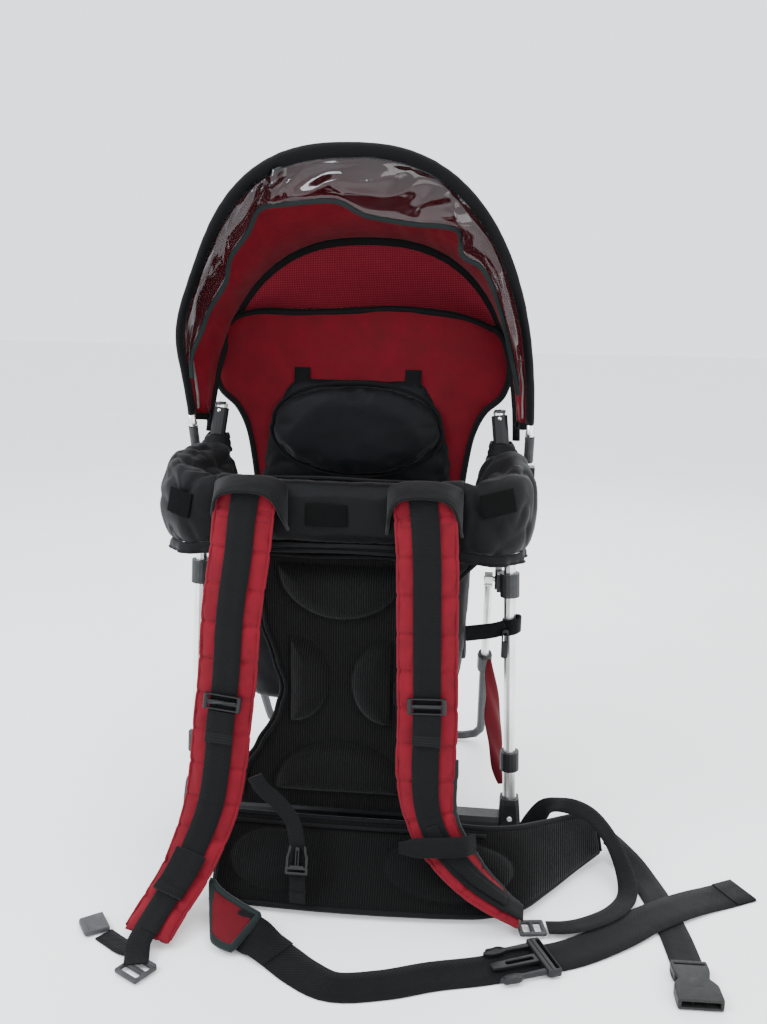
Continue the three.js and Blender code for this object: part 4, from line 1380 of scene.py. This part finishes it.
def strap_hood(side, name):
    """The rounded black flap that covers the top of a shoulder strap."""
    rows = []
    x0 = side * 0.103
    for j in range(15):
        t = j / 14
        row = []
        for i in range(25):
            s = i / 24 * 2 - 1
            arch = (1 - abs(s) ** 2.6)
            x = x0 + s * 0.044
            cover = (1 - abs(s) ** 7) ** 0.5
            z = 0.5345 - t * (0.0065 + 0.008 * s * s + 0.040 * abs(s) ** 8) + 0.0055 * arch * (1 - t)
            z -= 0.004 * abs(s) ** 4
            y = -0.1515 - 0.0400 * math.sin(t * math.pi / 2) ** 0.8 * cover
            y += 0.0012 * noise.noise(Vector((s * 4, t * 5, side)))
            row.append(Vector((x, y, z)))
        rows.append(row)
    o = loft(f"strap_hood_{name}", rows, "black_nylon", ends=False, closed=False)
    modify(o, "SOLIDIFY", thickness=0.003, offset=0.0)
    subdivide(o)
    piece(o, "frame", "black_nylon")
    edging(f"strap_hood_edge_{name}", rows[-1], 0.0022)


def wing_anchor():
    """The sewn end of the wide belt webbing, on the folded wing's tip."""
    line = spline(metres([[-106, -259, 20], [-92, -263, 17], [-76, -268, 12.4], [-58, -277, 8],
                          [-44, -285.5, 5.4]]), 20)
    faces = [Vector((0.1, -0.5, 0.85)).lerp(UP, smoothstep(6, 16, i)).normalized() for i in range(21)]
    o = ribbon("hip_strap_wide_anchor", line, frames_of(line, faces),
               [0.041 + 0.0095 * min(i / 10, 1) for i in range(21)], 0.0026, "webbing")
    piece(o, "frame", "webbing")


def cockpit():
    for side, name in SIDES:
        bolster_lobe(side, name)
        strap_hood(side, name)
        rings = []
        for k in range(9):
            t = k / 8
            z = lerp(0.540, 0.563, t)
            r = lerp(0.0215, 0.0128, t ** 0.8) + 0.0006 * math.sin(k * 2.2)
            rings.append([Vector((side * lerp(0.1955, 0.1905, t), 0.0245 + 0.004 * t, z))
                          + Vector((math.cos(a) * r * 1.1, math.sin(a) * r, 0.0012 * math.sin(3 * a)))
                          for a in circle(24)])
        o = loft(f"post_collar_{name}", rings, "black_nylon", ends=False)
        modify(o, "SOLIDIFY", thickness=0.0025, offset=0.0)
        piece(o, "frame", "black_nylon")
    bolster_front()
    hook_patch("hook_patch_front", (-0.013, -0.1568, 0.4955), 0.050, 0.026, (0, -1, 0.02))
    hook_patch("hook_patch_left", (-0.1935, -0.1440, 0.502), 0.036, 0.030, (-0.55, -1, 0.10), -9)
    hook_patch("hook_patch_right", (0.1885, -0.1515, 0.517), 0.044, 0.028, (0.52, -1, 0.16), 9)


# ---------------------------------------------------------------- child's seat
BACK_HALF = [(0, 728), (70, 729), (146, 724), (188, 704), (203, 676), (205, 648), (196, 618),
             (173, 596), (158, 566), (149, 520), (142, 456)]
BACK_SHIFT = -0.006              # the soft back hangs a little to the left


def back_edge():
    """The seat back's bound edge, from its left foot round the top to its right foot."""
    right = [Vector((x, 95, z)) * MM for x, z in BACK_HALF]
    left = [Vector((-p.x, p.y, p.z)) for p in right[:0:-1]]
    line = spline([*left, *right], 150)
    for p in line:
        p.x += BACK_SHIFT
        if p.z > 0.71:
            p.z += 0.0035 * math.sin(p.x * 26 + 0.6)
    return line


def seat_back():
    edge = back_edge()
    half = len(edge) // 2
    rows, cols = half, 60
    verts = []
    for j in range(rows + 1):
        a, b = edge[j], edge[len(edge) - 1 - j]
        for i in range(cols + 1):
            p = a.lerp(b, i / cols)
            rim = min(i, cols - i) / cols * (b - a).length
            top = 0.731 - p.z
            puff = 0.0045 * clamp(min(rim, top) / 0.02) ** 0.6
            p = p + Vector((0, 0.004 - puff, 0))
            p.y -= 0.0032 * noise.noise(Vector((p.x * 13, p.z * 11, 3)))
            p.y -= 0.0018 * noise.noise(Vector((p.x * 34, p.z * 26, 5)))
            verts.append(p)
    faces = grid_faces(rows, cols)
    o = face_out(make("seat_back_cover", verts, faces, "seat_red"))
    modify(o, "SOLIDIFY", thickness=0.011, offset=0.0)
    piece(o, "frame", "red_nylon", "seat_back")
    rear = [Vector((v.x, 0.1085 - 0.001 * math.sin(v.x * 40), v.z)) for v in verts]
    cover = face_out(make("seat_back_lining", rear, faces, "black_nylon"))
    modify(cover, "SOLIDIFY", thickness=0.0016, offset=0.0)
    piece(cover, "frame", "black_nylon")
    piece(tube("seat_back_binding", [p + Vector((0, -0.0015, 0)) for p in edge], 0.0048, "binding", 10),
          "frame", "webbing")


def pillow_shape(points, count):
    right = [Vector((x, 0, z)) * MM for x, z in points]
    left = [Vector((-p.x, 0, p.z)) for p in right]
    return respaced(spline([*left[::-1], *right], count * 3), count)


def cushion(name, outline, y_front, y_back, mat, crown=0.5, voxel=0.0045, cap=0.006):
    """A cushion whose outline is given in the XZ plane, swelling towards -Y."""
    centre = sum(outline, Vector()) / len(outline)
    rings = []
    for share, depth in ((0.20, 1.0), (0.6, 0.97), (0.86, 0.8), (0.97, 0.45), (1.0, 0.0)):
        y = lerp(lerp(y_front, y_back, crown), y_front, depth)
        rings.append([centre.lerp(p, share) + Vector((0, y - centre.y, 0)) for p in outline])
    for share, depth in ((0.98, 0.6), (0.9, 0.9), (0.2, 1.0)):
        y = lerp(lerp(y_front, y_back, crown), y_back, depth)
        rings.append([centre.lerp(p, share) + Vector((0, y - centre.y, 0)) for p in outline])
    o = loft(name, rings, mat)
    inflate(o, voxel, cap)
    return o


PILLOW_SHIFT = -0.009


def head_pillow():
    base = pillow_shape([(40, 640), (92, 637), (114, 606), (130, 560), (137, 520), (138, 488),
                         (60, 485)], 90)
    base = [p + Vector((PILLOW_SHIFT, 0, 0)) for p in base]
    o = cushion("head_pillow_cover", base, 0.0815, 0.095, "pillow_nylon", 0.5, 0.0045, 0.004)
    ridges(o, 0.0035, 20, (0.7, 1, 1.4), 3.3, lambda p: smoothstep(0.06, 0.11, abs(p.x)))
    ruffle(o, 0.0012, 55, 7)
    subdivide(o)
    piece(o, "frame", "black_nylon", "head_pillow")
    oval = []
    for a in circle(90):
        c, s = math.cos(a), math.sin(a)
        x = 0.121 * boxy(c, 0.92) * (1.0 if s < 0 else 0.97)
        z = 0.574 + (0.058 if s > 0 else 0.072) * boxy(s, 0.9)
        oval.append(Vector((x + PILLOW_SHIFT, 0, z)))
    o = cushion("head_pillow_oval", oval, 0.0665, 0.084, "pillow_nylon", 0.75, 0.0045, 0.006)
    ruffle(o, 0.0016, 24, 9)
    subdivide(o)
    piece(o, "frame", "black_nylon")
    rim = [p + Vector((0, 0.0795, 0)) for p in oval]
    edging("head_pillow_piping", rim, 0.0026, closed=True)
    for side, name in SIDES:
        x = side * 0.077 + PILLOW_SHIFT
        line = [Vector((x, 0.0880 - 0.001 * k, 0.651 - 0.006 * k)) for k in range(6)]
        tab = ribbon(f"head_pillow_tab_{name}", line, frames_of(line, [Vector((0, -1, 0))] * 6), 0.022,
                     0.0018, "webbing")
        piece(tab, "frame", "webbing")


POUCH_FRONT = [(452, -80), (380, -83), (300, -85), (250, -66), (222, -52), (208, -28)]
POUCH_REAR = [(452, 95), (380, 94), (300, 94), (262, 93), (228, 74), (208, 40)]
LEG_HOLE = (14, 318, 46)


def profile_at(points, z):
    for (za, a), (zb, b) in zip(points, points[1:]):
        if zb <= z <= za:
            return lerp(a, b, (za - z) / (za - zb))
    return points[-1][1]


def seat_pouch():
    """The nylon bucket that the child sits in, sagging a little, with bound leg holes."""
    rings = []
    levels = [452 - k * 6 for k in range(41)]
    for z in levels:
        front, rear = profile_at(POUCH_FRONT, z), profile_at(POUCH_REAR, z)
        cy, hy = (front + rear) / 2, (rear - front) / 2
        hx = 157 - 24 * clamp((330 - z) / 122) ** 2
        ring = []
        for a in circle(96):
            c, s = math.cos(a), math.sin(a)
            p = Vector((boxy(c, 0.45) * hx, cy + boxy(s, 0.5) * hy, z))
            sag = 2.6 * noise.noise(Vector((a * 2.2, z * 0.012, 4))) + 1.2 * noise.noise(p * 0.05)
            p += Vector((c, s, 0)) * (sag - 2.6)
            ring.append(p * MM)
        rings.append(ring)
    last = rings[-1]
    middle = sum(last, Vector()) / len(last)
    for share, drop in ((0.75, 1.5), (0.45, 0.0), (0.12, 0.5)):
        rings.append([middle.lerp(p, share) - Vector((0, 0, drop * MM)) for p in last])
    o = loft("seat_pouch_cover", rings, "black_nylon", ends=False)
    bm = bmesh.new()
    bm.from_mesh(o.data)
    cy, cz, r = LEG_HOLE
    middles = [(f, f.calc_center_median() * 1000) for f in bm.faces]
    doomed = [f for f, m in middles if abs(m.x) > 100 and math.hypot(m.y - cy, m.z - cz) < r]
    bmesh.ops.delete(bm, geom=doomed, context="FACES")
    for v in bm.verts:
        d = Vector((v.co.y * 1000 - cy, v.co.z * 1000 - cz))
        if abs(v.co.x) > 0.1 and abs(d.length - r) < 4.5:
            d = d.normalized() * r
            v.co.y, v.co.z = (cy + d.x) / 1000, (cz + d.y) / 1000
    bm.to_mesh(o.data)
    bm.free()
    modify(o, "SOLIDIFY", thickness=0.003, offset=0.0)
    subdivide(o)
    piece(o, "frame", "black_nylon", "seat_pouch")
    for side, name in SIDES:
        line = []
        for a in circle(60):
            x = side * (150.4 - 1.2 * math.cos(2 * a))
            line.append(Vector((x, cy + r * math.cos(a), cz + r * math.sin(a))) * MM)
        edging(f"leg_binding_{name}", line, 0.0036, closed=True)
    rim = [p + Vector((0, 0, 0.001)) for p in rings[0]]
    edging("seat_pouch_rim", rim, 0.003, closed=True)


def seat_sides():
    """The cloth that tapers from the bolster's ends down to the seat, seen under the cockpit."""
    for side, name in SIDES:
        rows = []
        for j in range(25):
            t = j / 24
            z = lerp(0.449, 0.392, t)
            outer = lerp(0.186, 0.128, t ** 0.8)
            inner = lerp(0.100, 0.108, t)
            row = []
            for i in range(21):
                y = -0.1035 + 0.004 * math.sin(i * 0.5 + j * 0.2)
                y -= 0.002 * noise.noise(Vector((i * 0.3, j * 0.3, side)))
                row.append(Vector((side * lerp(outer, inner, i / 20), y, z)))
            rows.append(row)
        o = loft(f"seat_side_{name}", rows, "black_nylon", ends=False, closed=False)
        modify(o, "SOLIDIFY", thickness=0.003, offset=0.0)
        piece(o, "frame", "black_nylon")
        edge = [r[0] for r in rows] + [rows[-1][i] for i in (5, 10, 15, 20)]
        edging(f"seat_side_binding_{name}", spline(edge[::3], 40), 0.0036)


def child_harness():
    """The child's shoulder belts and the buckle between the legs."""
    parts = []
    for side, name in SIDES:
        route = metres([[side * 58, 83, 440], [side * 56, 79, 380], [side * 50, 66, 310],
                        [side * 30, 42, 264], [side * 4, 30, 248]])
        line = spline(route, 40)
        frames = frames_of(line, [Vector((0, -0.8, 0.6)).normalized()] * 41)
        o = ribbon(f"child_belt_{name}", line, frames, 0.020, 0.0018, "webbing")
        piece(o, "frame", "webbing")
        if side < 0:
            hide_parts("child_harness")
        pad = ribbon(f"child_belt_pad_{name}", line[2:20], frames[2:20], 0.030, 0.006, "black_nylon")
        subdivide(pad)
        piece(pad, "frame", "black_nylon")
    face = Matrix.Rotation(math.radians(37), 4, "X")
    place = pose_of((0, 27, 252), 0, face)
    parts = [plate("body", oblong(34, 24, (0, 0), 5), 9, "black_plastic", (), 2.2, place),
             plate("button", oblong(12, 10, (0, 0), 3), 11, "grey_plastic", (), 1.6, place)]
    piece(join("child_buckle", parts), "frame", "black_plastic")


# ---------------------------------------------------------------- canopy
BOW_AXIS = (0.050, 0.536)        # y and z of the hinge line
FRONT_BOW = {"x": 0.228, "rise": 0.405, "lean": 20.2}
MID_BOW = {"x": 0.211, "rise": 0.301, "lean": -15.4}


def bow_points(bow, count, inset=0.0, start=0.0):
    """Points along a bow from its right foot to its left; inset moves them in towards the axis."""
    lean = math.radians(bow["lean"])
    points = []
    for i in range(count + 1):
        a = lerp(start, math.pi - start, i / count)
        x = boxy(math.cos(a), 0.8)
        rise = (bow["rise"] - inset) * max(math.sin(a), 0) ** 0.8
        p = Vector(((bow["x"] - inset) * x, BOW_AXIS[0] - rise * math.sin(lean),
                    BOW_AXIS[1] + rise * math.cos(lean)))
        if bow is FRONT_BOW and x < 0:
            p.x -= 0.013 * math.exp(-((p.z - 0.70) / 0.06) ** 2)
        points.append(p)
    return points


def sheet_between(name, a, b, rows, mat, shape, thickness=0.0011):
    """Cloth between two edges; shape(u, v) moves each point off the straight run."""
    lines = []
    for j in range(rows + 1):
        v = j / rows
        lines.append([p.lerp(q, v) + shape(i / (len(a) - 1), v, p.lerp(q, v))
                      for i, (p, q) in enumerate(zip(a, b))])
    o = loft(name, lines, mat, ends=False, closed=False)
    modify(o, "SOLIDIFY", thickness=thickness, offset=0.0)
    return o, lines


def flat_size(lines):
    """The width and length a sheet would be cut to, before it was hung."""
    across = sum(length_of([r[i] for r in lines]) for i in range(0, len(lines[0]), 8))
    across /= len(range(0, len(lines[0]), 8))
    along = sum(length_of(r) for r in lines) / len(lines)
    return across, along


def declare_sheet(lines):
    across, along = flat_size(lines)


def canopy_front():
    count = 150
    front = bow_points(FRONT_BOW, count, 0.003, 0.085)
    middle = bow_points(MID_BOW, count, -0.001, 0.115)
    front = [p + Vector((0, 0.0028, 0)) for p in front]
    middle = [p + Vector((0, -0.001, 0.001)) for p in middle]

    def shape(u, v, p):
        """Taut over the bows, hollow between them, with pulled creases near the sides."""
        out = Vector((p.x, 0, p.z - 0.53)).normalized()
        hollow = -0.016 * math.sin(math.pi * v) * (0.35 + 0.65 * math.sin(math.pi * u))
        side = abs(u - 0.5) * 2
        crease = 0.0035 * noise.noise(Vector((u * 34, v * 2.2, 1.0))) * math.sin(math.pi * v)
        crease += 0.0045 * side * noise.noise(Vector((u * 60, v * 3.0, 6.0))) * math.sin(math.pi * v)
        return out * (hollow + crease)

    o, lines = sheet_between("canopy_front_cloth", front, middle, 28, "canopy_red", shape)
    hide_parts("canopy_front")
    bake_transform(o)
    declare_sheet(lines)
    outer = [[p + Vector((p.x, 0, p.z - 0.53)).normalized() * 0.0026 for p in r] for r in lines]
    shell = loft("canopy_front_shell", outer, "black_nylon", ends=False, closed=False)
    modify(shell, "SOLIDIFY", thickness=0.0009, offset=0.0)
    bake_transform(shell)
    declare_sheet(outer)
    for k, name in ((0, "right"), (-1, "left")):
        edge = [r[k] for r in lines]
        face = Vector((1 if k == 0 else -1, 0, 0))
        hem_line = [p + Vector((0, 0, -0.003)) for p in edge]
        o = ribbon(f"canopy_hem_{name}", hem_line, frames_of(hem_line, [face] * len(edge)), 0.010, 0.004,
                   "binding")
        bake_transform(o)
        zip_teeth(name, lines, k)


def zip_teeth(name, lines, k):
    """The short zip that closes the canopy's corner, its teeth showing along the inside edge."""
    start = lines[3]
    index = range(1, 11) if k == 0 else range(-2, -12, -1)
    line = respaced([start[i] - Vector((start[i].x, 0, 0)).normalized() * 0.003 for i in index], 34)
    verts, faces = [], []
    for i, p in enumerate(line):
        along = tangent(line, i)
        across = along.cross(Vector((1, 0, 0))).normalized()
        for s in (-1, 1):
            c = p + across * 0.0012 * s + along * (0.0005 if s > 0 else 0)
            base = len(verts)
            for dx, dy, dz in ((-1, -1, -1), (1, -1, -1), (1, 1, -1), (-1, 1, -1),
                               (-1, -1, 1), (1, -1, 1), (1, 1, 1), (-1, 1, 1)):
                verts.append(c + Vector((dx, 0, 0)) * 0.0011 + across * dy * 0.0012 + along * dz * 0.00055)
            faces += [tuple(base + q for q in f) for f in
                      ((0, 3, 2, 1), (4, 5, 6, 7), (0, 1, 5, 4), (1, 2, 6, 5), (2, 3, 7, 6), (3, 0, 4, 7))]
    o = make(f"canopy_zip_{name}", verts, faces, "zip_teeth", smooth=False)
    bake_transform(o)


BACK_TOP = [[192, 99, 672], [180, 101, 702], [140, 103, 726], [60, 104, 732], [0, 104, 731],
            [-60, 104, 732], [-140, 103, 726], [-180, 101, 702], [-192, 99, 672]]


def canopy_rear():
    """The mesh window between the middle bow and the top of the seat back."""
    count = 110
    top = [p + Vector((0, 0.0030, -0.0010)) for p in bow_points(MID_BOW, count, 0.001, 0.52)]
    foot = [p + Vector((0, 0.001, -0.006)) for p in spline(metres(BACK_TOP), count)]

    def shape(u, v, p):
        slack = math.sin(math.pi * v) * math.sin(math.pi * u)
        ripple = 0.0022 * noise.noise(Vector((u * 22, v * 2, 3))) * math.sin(math.pi * v)
        return Vector((0, 0.020 * slack + ripple, 0.003 * slack))

    o, lines = sheet_between("canopy_mesh_panel", top, foot, 24, "canopy_mesh", shape)
    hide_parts("canopy_rear")
    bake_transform(o)
    declare_sheet(lines)


def sleeve(name, bow, start, size, body, slot, node, thick):
    """The sewn black sleeve round a bow, deeper at the top; it gives back the line of its inner edge."""
    count = 160
    rings = []
    inner_line = []
    points = bow_points(bow, count, 0.0, start)
    lean = math.radians(bow["lean"])
    normal = Vector((0, math.cos(lean), math.sin(lean)))
    for i, p in enumerate(points):
        along = tangent(points, i)
        inward = normal.cross(along).normalized()
        if inward.dot(Vector((0, BOW_AXIS[0], 0.60)) - p) < 0:
            inward = -inward
        a = lerp(start, math.pi - start, i / count)
        deep = size[0] + (size[1] - size[0]) * math.sin(a) ** 2.4
        pucker = 0.0005 * noise.noise(Vector((i * 0.45, 0, 2)))
        ring = []
        for t in circle(14):
            c, s = math.cos(t), math.sin(t)
            reach = (deep if c > 0 else 0.0052) * c
            body_t = thick * (1 - 0.62 * smoothstep(0.0, deep, reach))
            ring.append(p + inward * (reach + pucker) + normal * s * body_t)
        rings.append(ring)
        inner_line.append(p + inward * (deep * 0.86) - normal * thick * 0.42)
    o = loft(name, rings, "binding")
    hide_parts(node)
    piece(o, body, slot)
    return inner_line


def front_bow_parts():
    stitched = sleeve("front_bow_sleeve", FRONT_BOW, 0.085, (0.0062, 0.0135), "front_bow",
                      "black_nylon", "front_bow", 0.0055)
    seam("front_bow_seam", stitched[4:-4], 0.0005, "stitch_black", "front_bow", "webbing")
    # The mid bow's black sleeve is a real sleeve. It also stands, as a black band, where the canopy's hem
    # throws a shadow gap, so it is partly painted shadow.
    sleeve("mid_bow_sleeve", MID_BOW, 0.05, (0.0052, 0.009), "mid_bow", "black_nylon", "mid_bow", 0.0046)
    for side, name in SIDES:
        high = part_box(f"bow_socket_{name}")[1]
        lean = math.radians(FRONT_BOW["lean"])
        up = Vector((0, -math.sin(lean), math.cos(lean)))
        rearward = up.cross(Vector((1, 0, 0)))
        rear = BOW_AXIS[0] - (high[2] - BOW_AXIS[1]) * math.tan(lean)
        top = Vector((side * FRONT_BOW["x"], rear, high[2]))
        rings = []
        for h, r in ((-0.001, 0.0052), (0.0, 0.0061), (0.0045, 0.0061), (0.0055, 0.0053),
                     (0.016, 0.0053)):
            p = top + up * h
            rings.append([p + Vector((math.cos(a), 0, 0)) * r + rearward * (math.sin(a) * r)
                          for a in circle(20)])
        piece(loft(f"bow_ferrule_{name}", rings, "silver_tube"), "front_bow", "silver_tube")


# x and z of the flap's free edge. These points were traced, not worked out here. A scratch script
# traced these, against the brief: see report.md.
FLAP_EDGE = [(-.2195, .640), (-.217, .667), (-.200, .700), (-.186, .728), (-.160, .764), (-.152, .791),
             (-.127, .8215), (-.109, .849), (-.084, .854), (-.045, .858), (-.014, .858), (.016, .843),
             (.047, .837), (.078, .833), (.128, .827), (.133, .800), (.157, .7845), (.177, .748),
             (.198, .680), (.2095, .629)]
FLAP_PINCH = 0.36                # where along the edge, from the left, the flap is tied up to the bow


def rain_flap():
    """The clear vinyl rain flap, pushed back against the front bow and crumpled along it."""
    count, rows = 300, 40
    inner = [Vector((x, BOW_AXIS[0] - (z - BOW_AXIS[1]) * 0.368, z)) for x, z in FLAP_EDGE]
    inner = spline(inner, count)
    outer = bow_points(FRONT_BOW, count, 0.0075, 0.30)[::-1]
    lean = math.radians(FRONT_BOW["lean"])
    normal = Vector((0, -math.cos(lean), -math.sin(lean)))

    def shape(u, v, p):
        """Long pleats that run from the bow to the free edge, bulging forward, over finer crumples."""
        hang = math.sin(math.pi * min(v * 1.15, 1)) ** 0.8
        fold = noise.noise(Vector((u * 8.0, v * 1.0 + u * 3, 2.0)))
        fine = noise.noise(Vector((u * 13.0 + v * 1.6, v * 1.7, 7.0)))
        tiny = noise.noise(Vector((u * 30.0, v * 3.0, 4.0)))
        bulge = 0.009 + 0.024 * fold + 0.0060 * (1 - abs(fine) * 2.4) + 0.0009 * tiny
        pinch = math.exp(-((u - FLAP_PINCH) / 0.035) ** 2)
        gather = 0.010 * pinch * math.sin((u - FLAP_PINCH) * 110) * (1 - v) ** 0.5
        share = clamp(v * 7) * hang + 0.25 * v
        slide = Vector((-p.z + 0.56, 0, p.x)).normalized() * (0.006 * fine * hang)
        return normal * (bulge * share + gather) + slide

    o, lines = sheet_between("rain_flap_vinyl", outer, inner, rows, "clear_vinyl", shape, 0.0005)
    piece(o, "front_bow", "clear_vinyl", "rain_flap")
    declare_sheet(lines)
    edge = lines[-1]
    edge = [p + normal * 0.0006 for p in edge]
    band_line = respaced(edge, 260)
    o = ribbon("rain_flap_binding", band_line, frames_of(band_line, [normal] * len(band_line)), 0.0062,
               0.0022, "green_binding")
    piece(o, "front_bow", "webbing")


# ---------------------------------------------------------------- frame details
def gussets():
    """The red cloth stays between the seat and the foot of the frame."""
    for side, name in SIDES:
        route = metres([[side * 188, 124, 226], [side * 194, 92, 182], [side * 201, 50, 120],
                        [side * 209, 28, 76]])
        line = spline(route, 40)
        frames = frames_of(line, [Vector((side * 0.72, -0.7, 0)).normalized()] * 41)
        rows = []
        for i, p in enumerate(line):
            across, out = frames[i]
            w = 0.0015 + 0.0165 * math.sin(math.pi * (i + 1) / 42) ** 0.8
            w += 0.0007 * math.sin(i * 0.4)
            row = []
            for k in range(13):
                s = k / 6 - 1
                puff = 0.0035 * (1 - s * s) + 0.0014 * math.sin(i * 0.4 + s * 3)
                row.append(p + across * (w * s) + out * puff)
            rows.append(row)
        o = loft(f"gusset_cloth_{name}", rows, "red_nylon", ends=False, closed=False)
        modify(o, "SOLIDIFY", thickness=0.0018, offset=0.0)
        subdivide(o)
        piece(o, "frame", "red_nylon", f"gusset_{name}")
        across, along = flat_size(rows)


def rivets_and_tips():
    for side, name in SIDES:
        low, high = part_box(f"knuckle_{name}")
        x = (low[0] + high[0]) / 2
        for k, z in enumerate((0.018, 0.050)):
            a = Vector((x - side * 0.002, low[1] + 0.0008, z))
            piece(bar_between(f"rivet_{name}_{k}", a, a - Vector((0, 0.0034, 0)), 0.0036, "silver_tube"),
                  "frame", "silver_tube")
        low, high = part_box(f"post_sleeve_{name}")
        x, y = (low[0] + high[0]) / 2, (low[1] + high[1]) / 2
        top = Vector((x - side * 0.0015, y + 0.0015, high[2] + 0.0012))
        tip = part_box(f"side_tube_{name}")[1][2]
        cap = Vector((top.x, top.y, tip))
        foot, head = cap - Vector((0, 0, 0.004)), cap + Vector((0, 0, 0.0008))
        piece(bar_between(f"post_cap_{name}", foot, head, 0.0078, "grey_plastic"), "frame", "grey_plastic")
        screw = top + Vector((0, -0.0108, -0.006))
        piece(bar_between(f"post_screw_{name}", screw + Vector((0, 0.003, 0)), screw, 0.0024, "silver_tube"),
              "frame", "silver_tube")


def side_loop():
    """The black webbing looped round the right side tube, with its ladder lock and hanging tail."""
    cx, cy = 0.2145, 0.0
    z = 0.322
    ring = []
    for k in range(49):
        a = 2 * math.pi * k / 48
        ring.append(Vector((cx + 0.0118 * math.cos(a), cy + 0.0118 * math.sin(a), z + 0.003 * math.cos(a))))
    frames = [(UP, (p - Vector((cx, cy, p.z))).normalized()) for p in ring]
    piece(ribbon("side_strap_ring", ring, frames, 0.022, 0.0022, "webbing"), "frame", "webbing")
    run = [Vector((0.206, -0.012, 0.322)), Vector((0.190, -0.012, 0.317)), Vector((0.172, -0.013, 0.314)),
           Vector((0.154, -0.016, 0.312))]
    line = spline(run, 24)
    o = ribbon("side_strap_run", line, frames_of(line, [Vector((0.5, -1, 0)).normalized()] * 25), 0.022,
               0.0022, "webbing")
    piece(o, "frame", "webbing")
    place = pose_of((206, -14, 300), 0, Matrix.Rotation(math.radians(90), 4, "X"))
    hole = oblong(4.4, 12, (0, 9), 1)
    body = plate("side_lock_body", oblong(9, 40, (0, 0), 3), 5, "black_plastic", (hole,), 1.4, place)
    piece(body, "frame", "black_plastic")


LOOKS = {
    "silver_tube": "silver_tube", "black_plastic": "black_plastic", "grey_plastic": "grey_plastic",
}


def dress_frame():
    """Gives every CAD node that still shows its finish, from its slot in the record."""
    slots = {s["node"]: s["material_slot"] for s in frame["record"]["subparts"]}
    for node, o in NODES.items():
        if not o.hide_render:
            dress(node, LOOKS.get(slots.get(node, ""), "black_plastic"))


def build():
    camera()
    stage()
    cords()
    shoulder_straps()
    back_panel()
    hip_belt()
    folded_wing()
    wing_anchor()
    cockpit()
    seat_back()
    head_pillow()
    seat_pouch()
    seat_sides()
    child_harness()
    front_bow_parts()
    canopy_front()
    canopy_rear()
    rain_flap()
    gussets()
    rivets_and_tips()
    side_loop()
    dress_frame()


build()
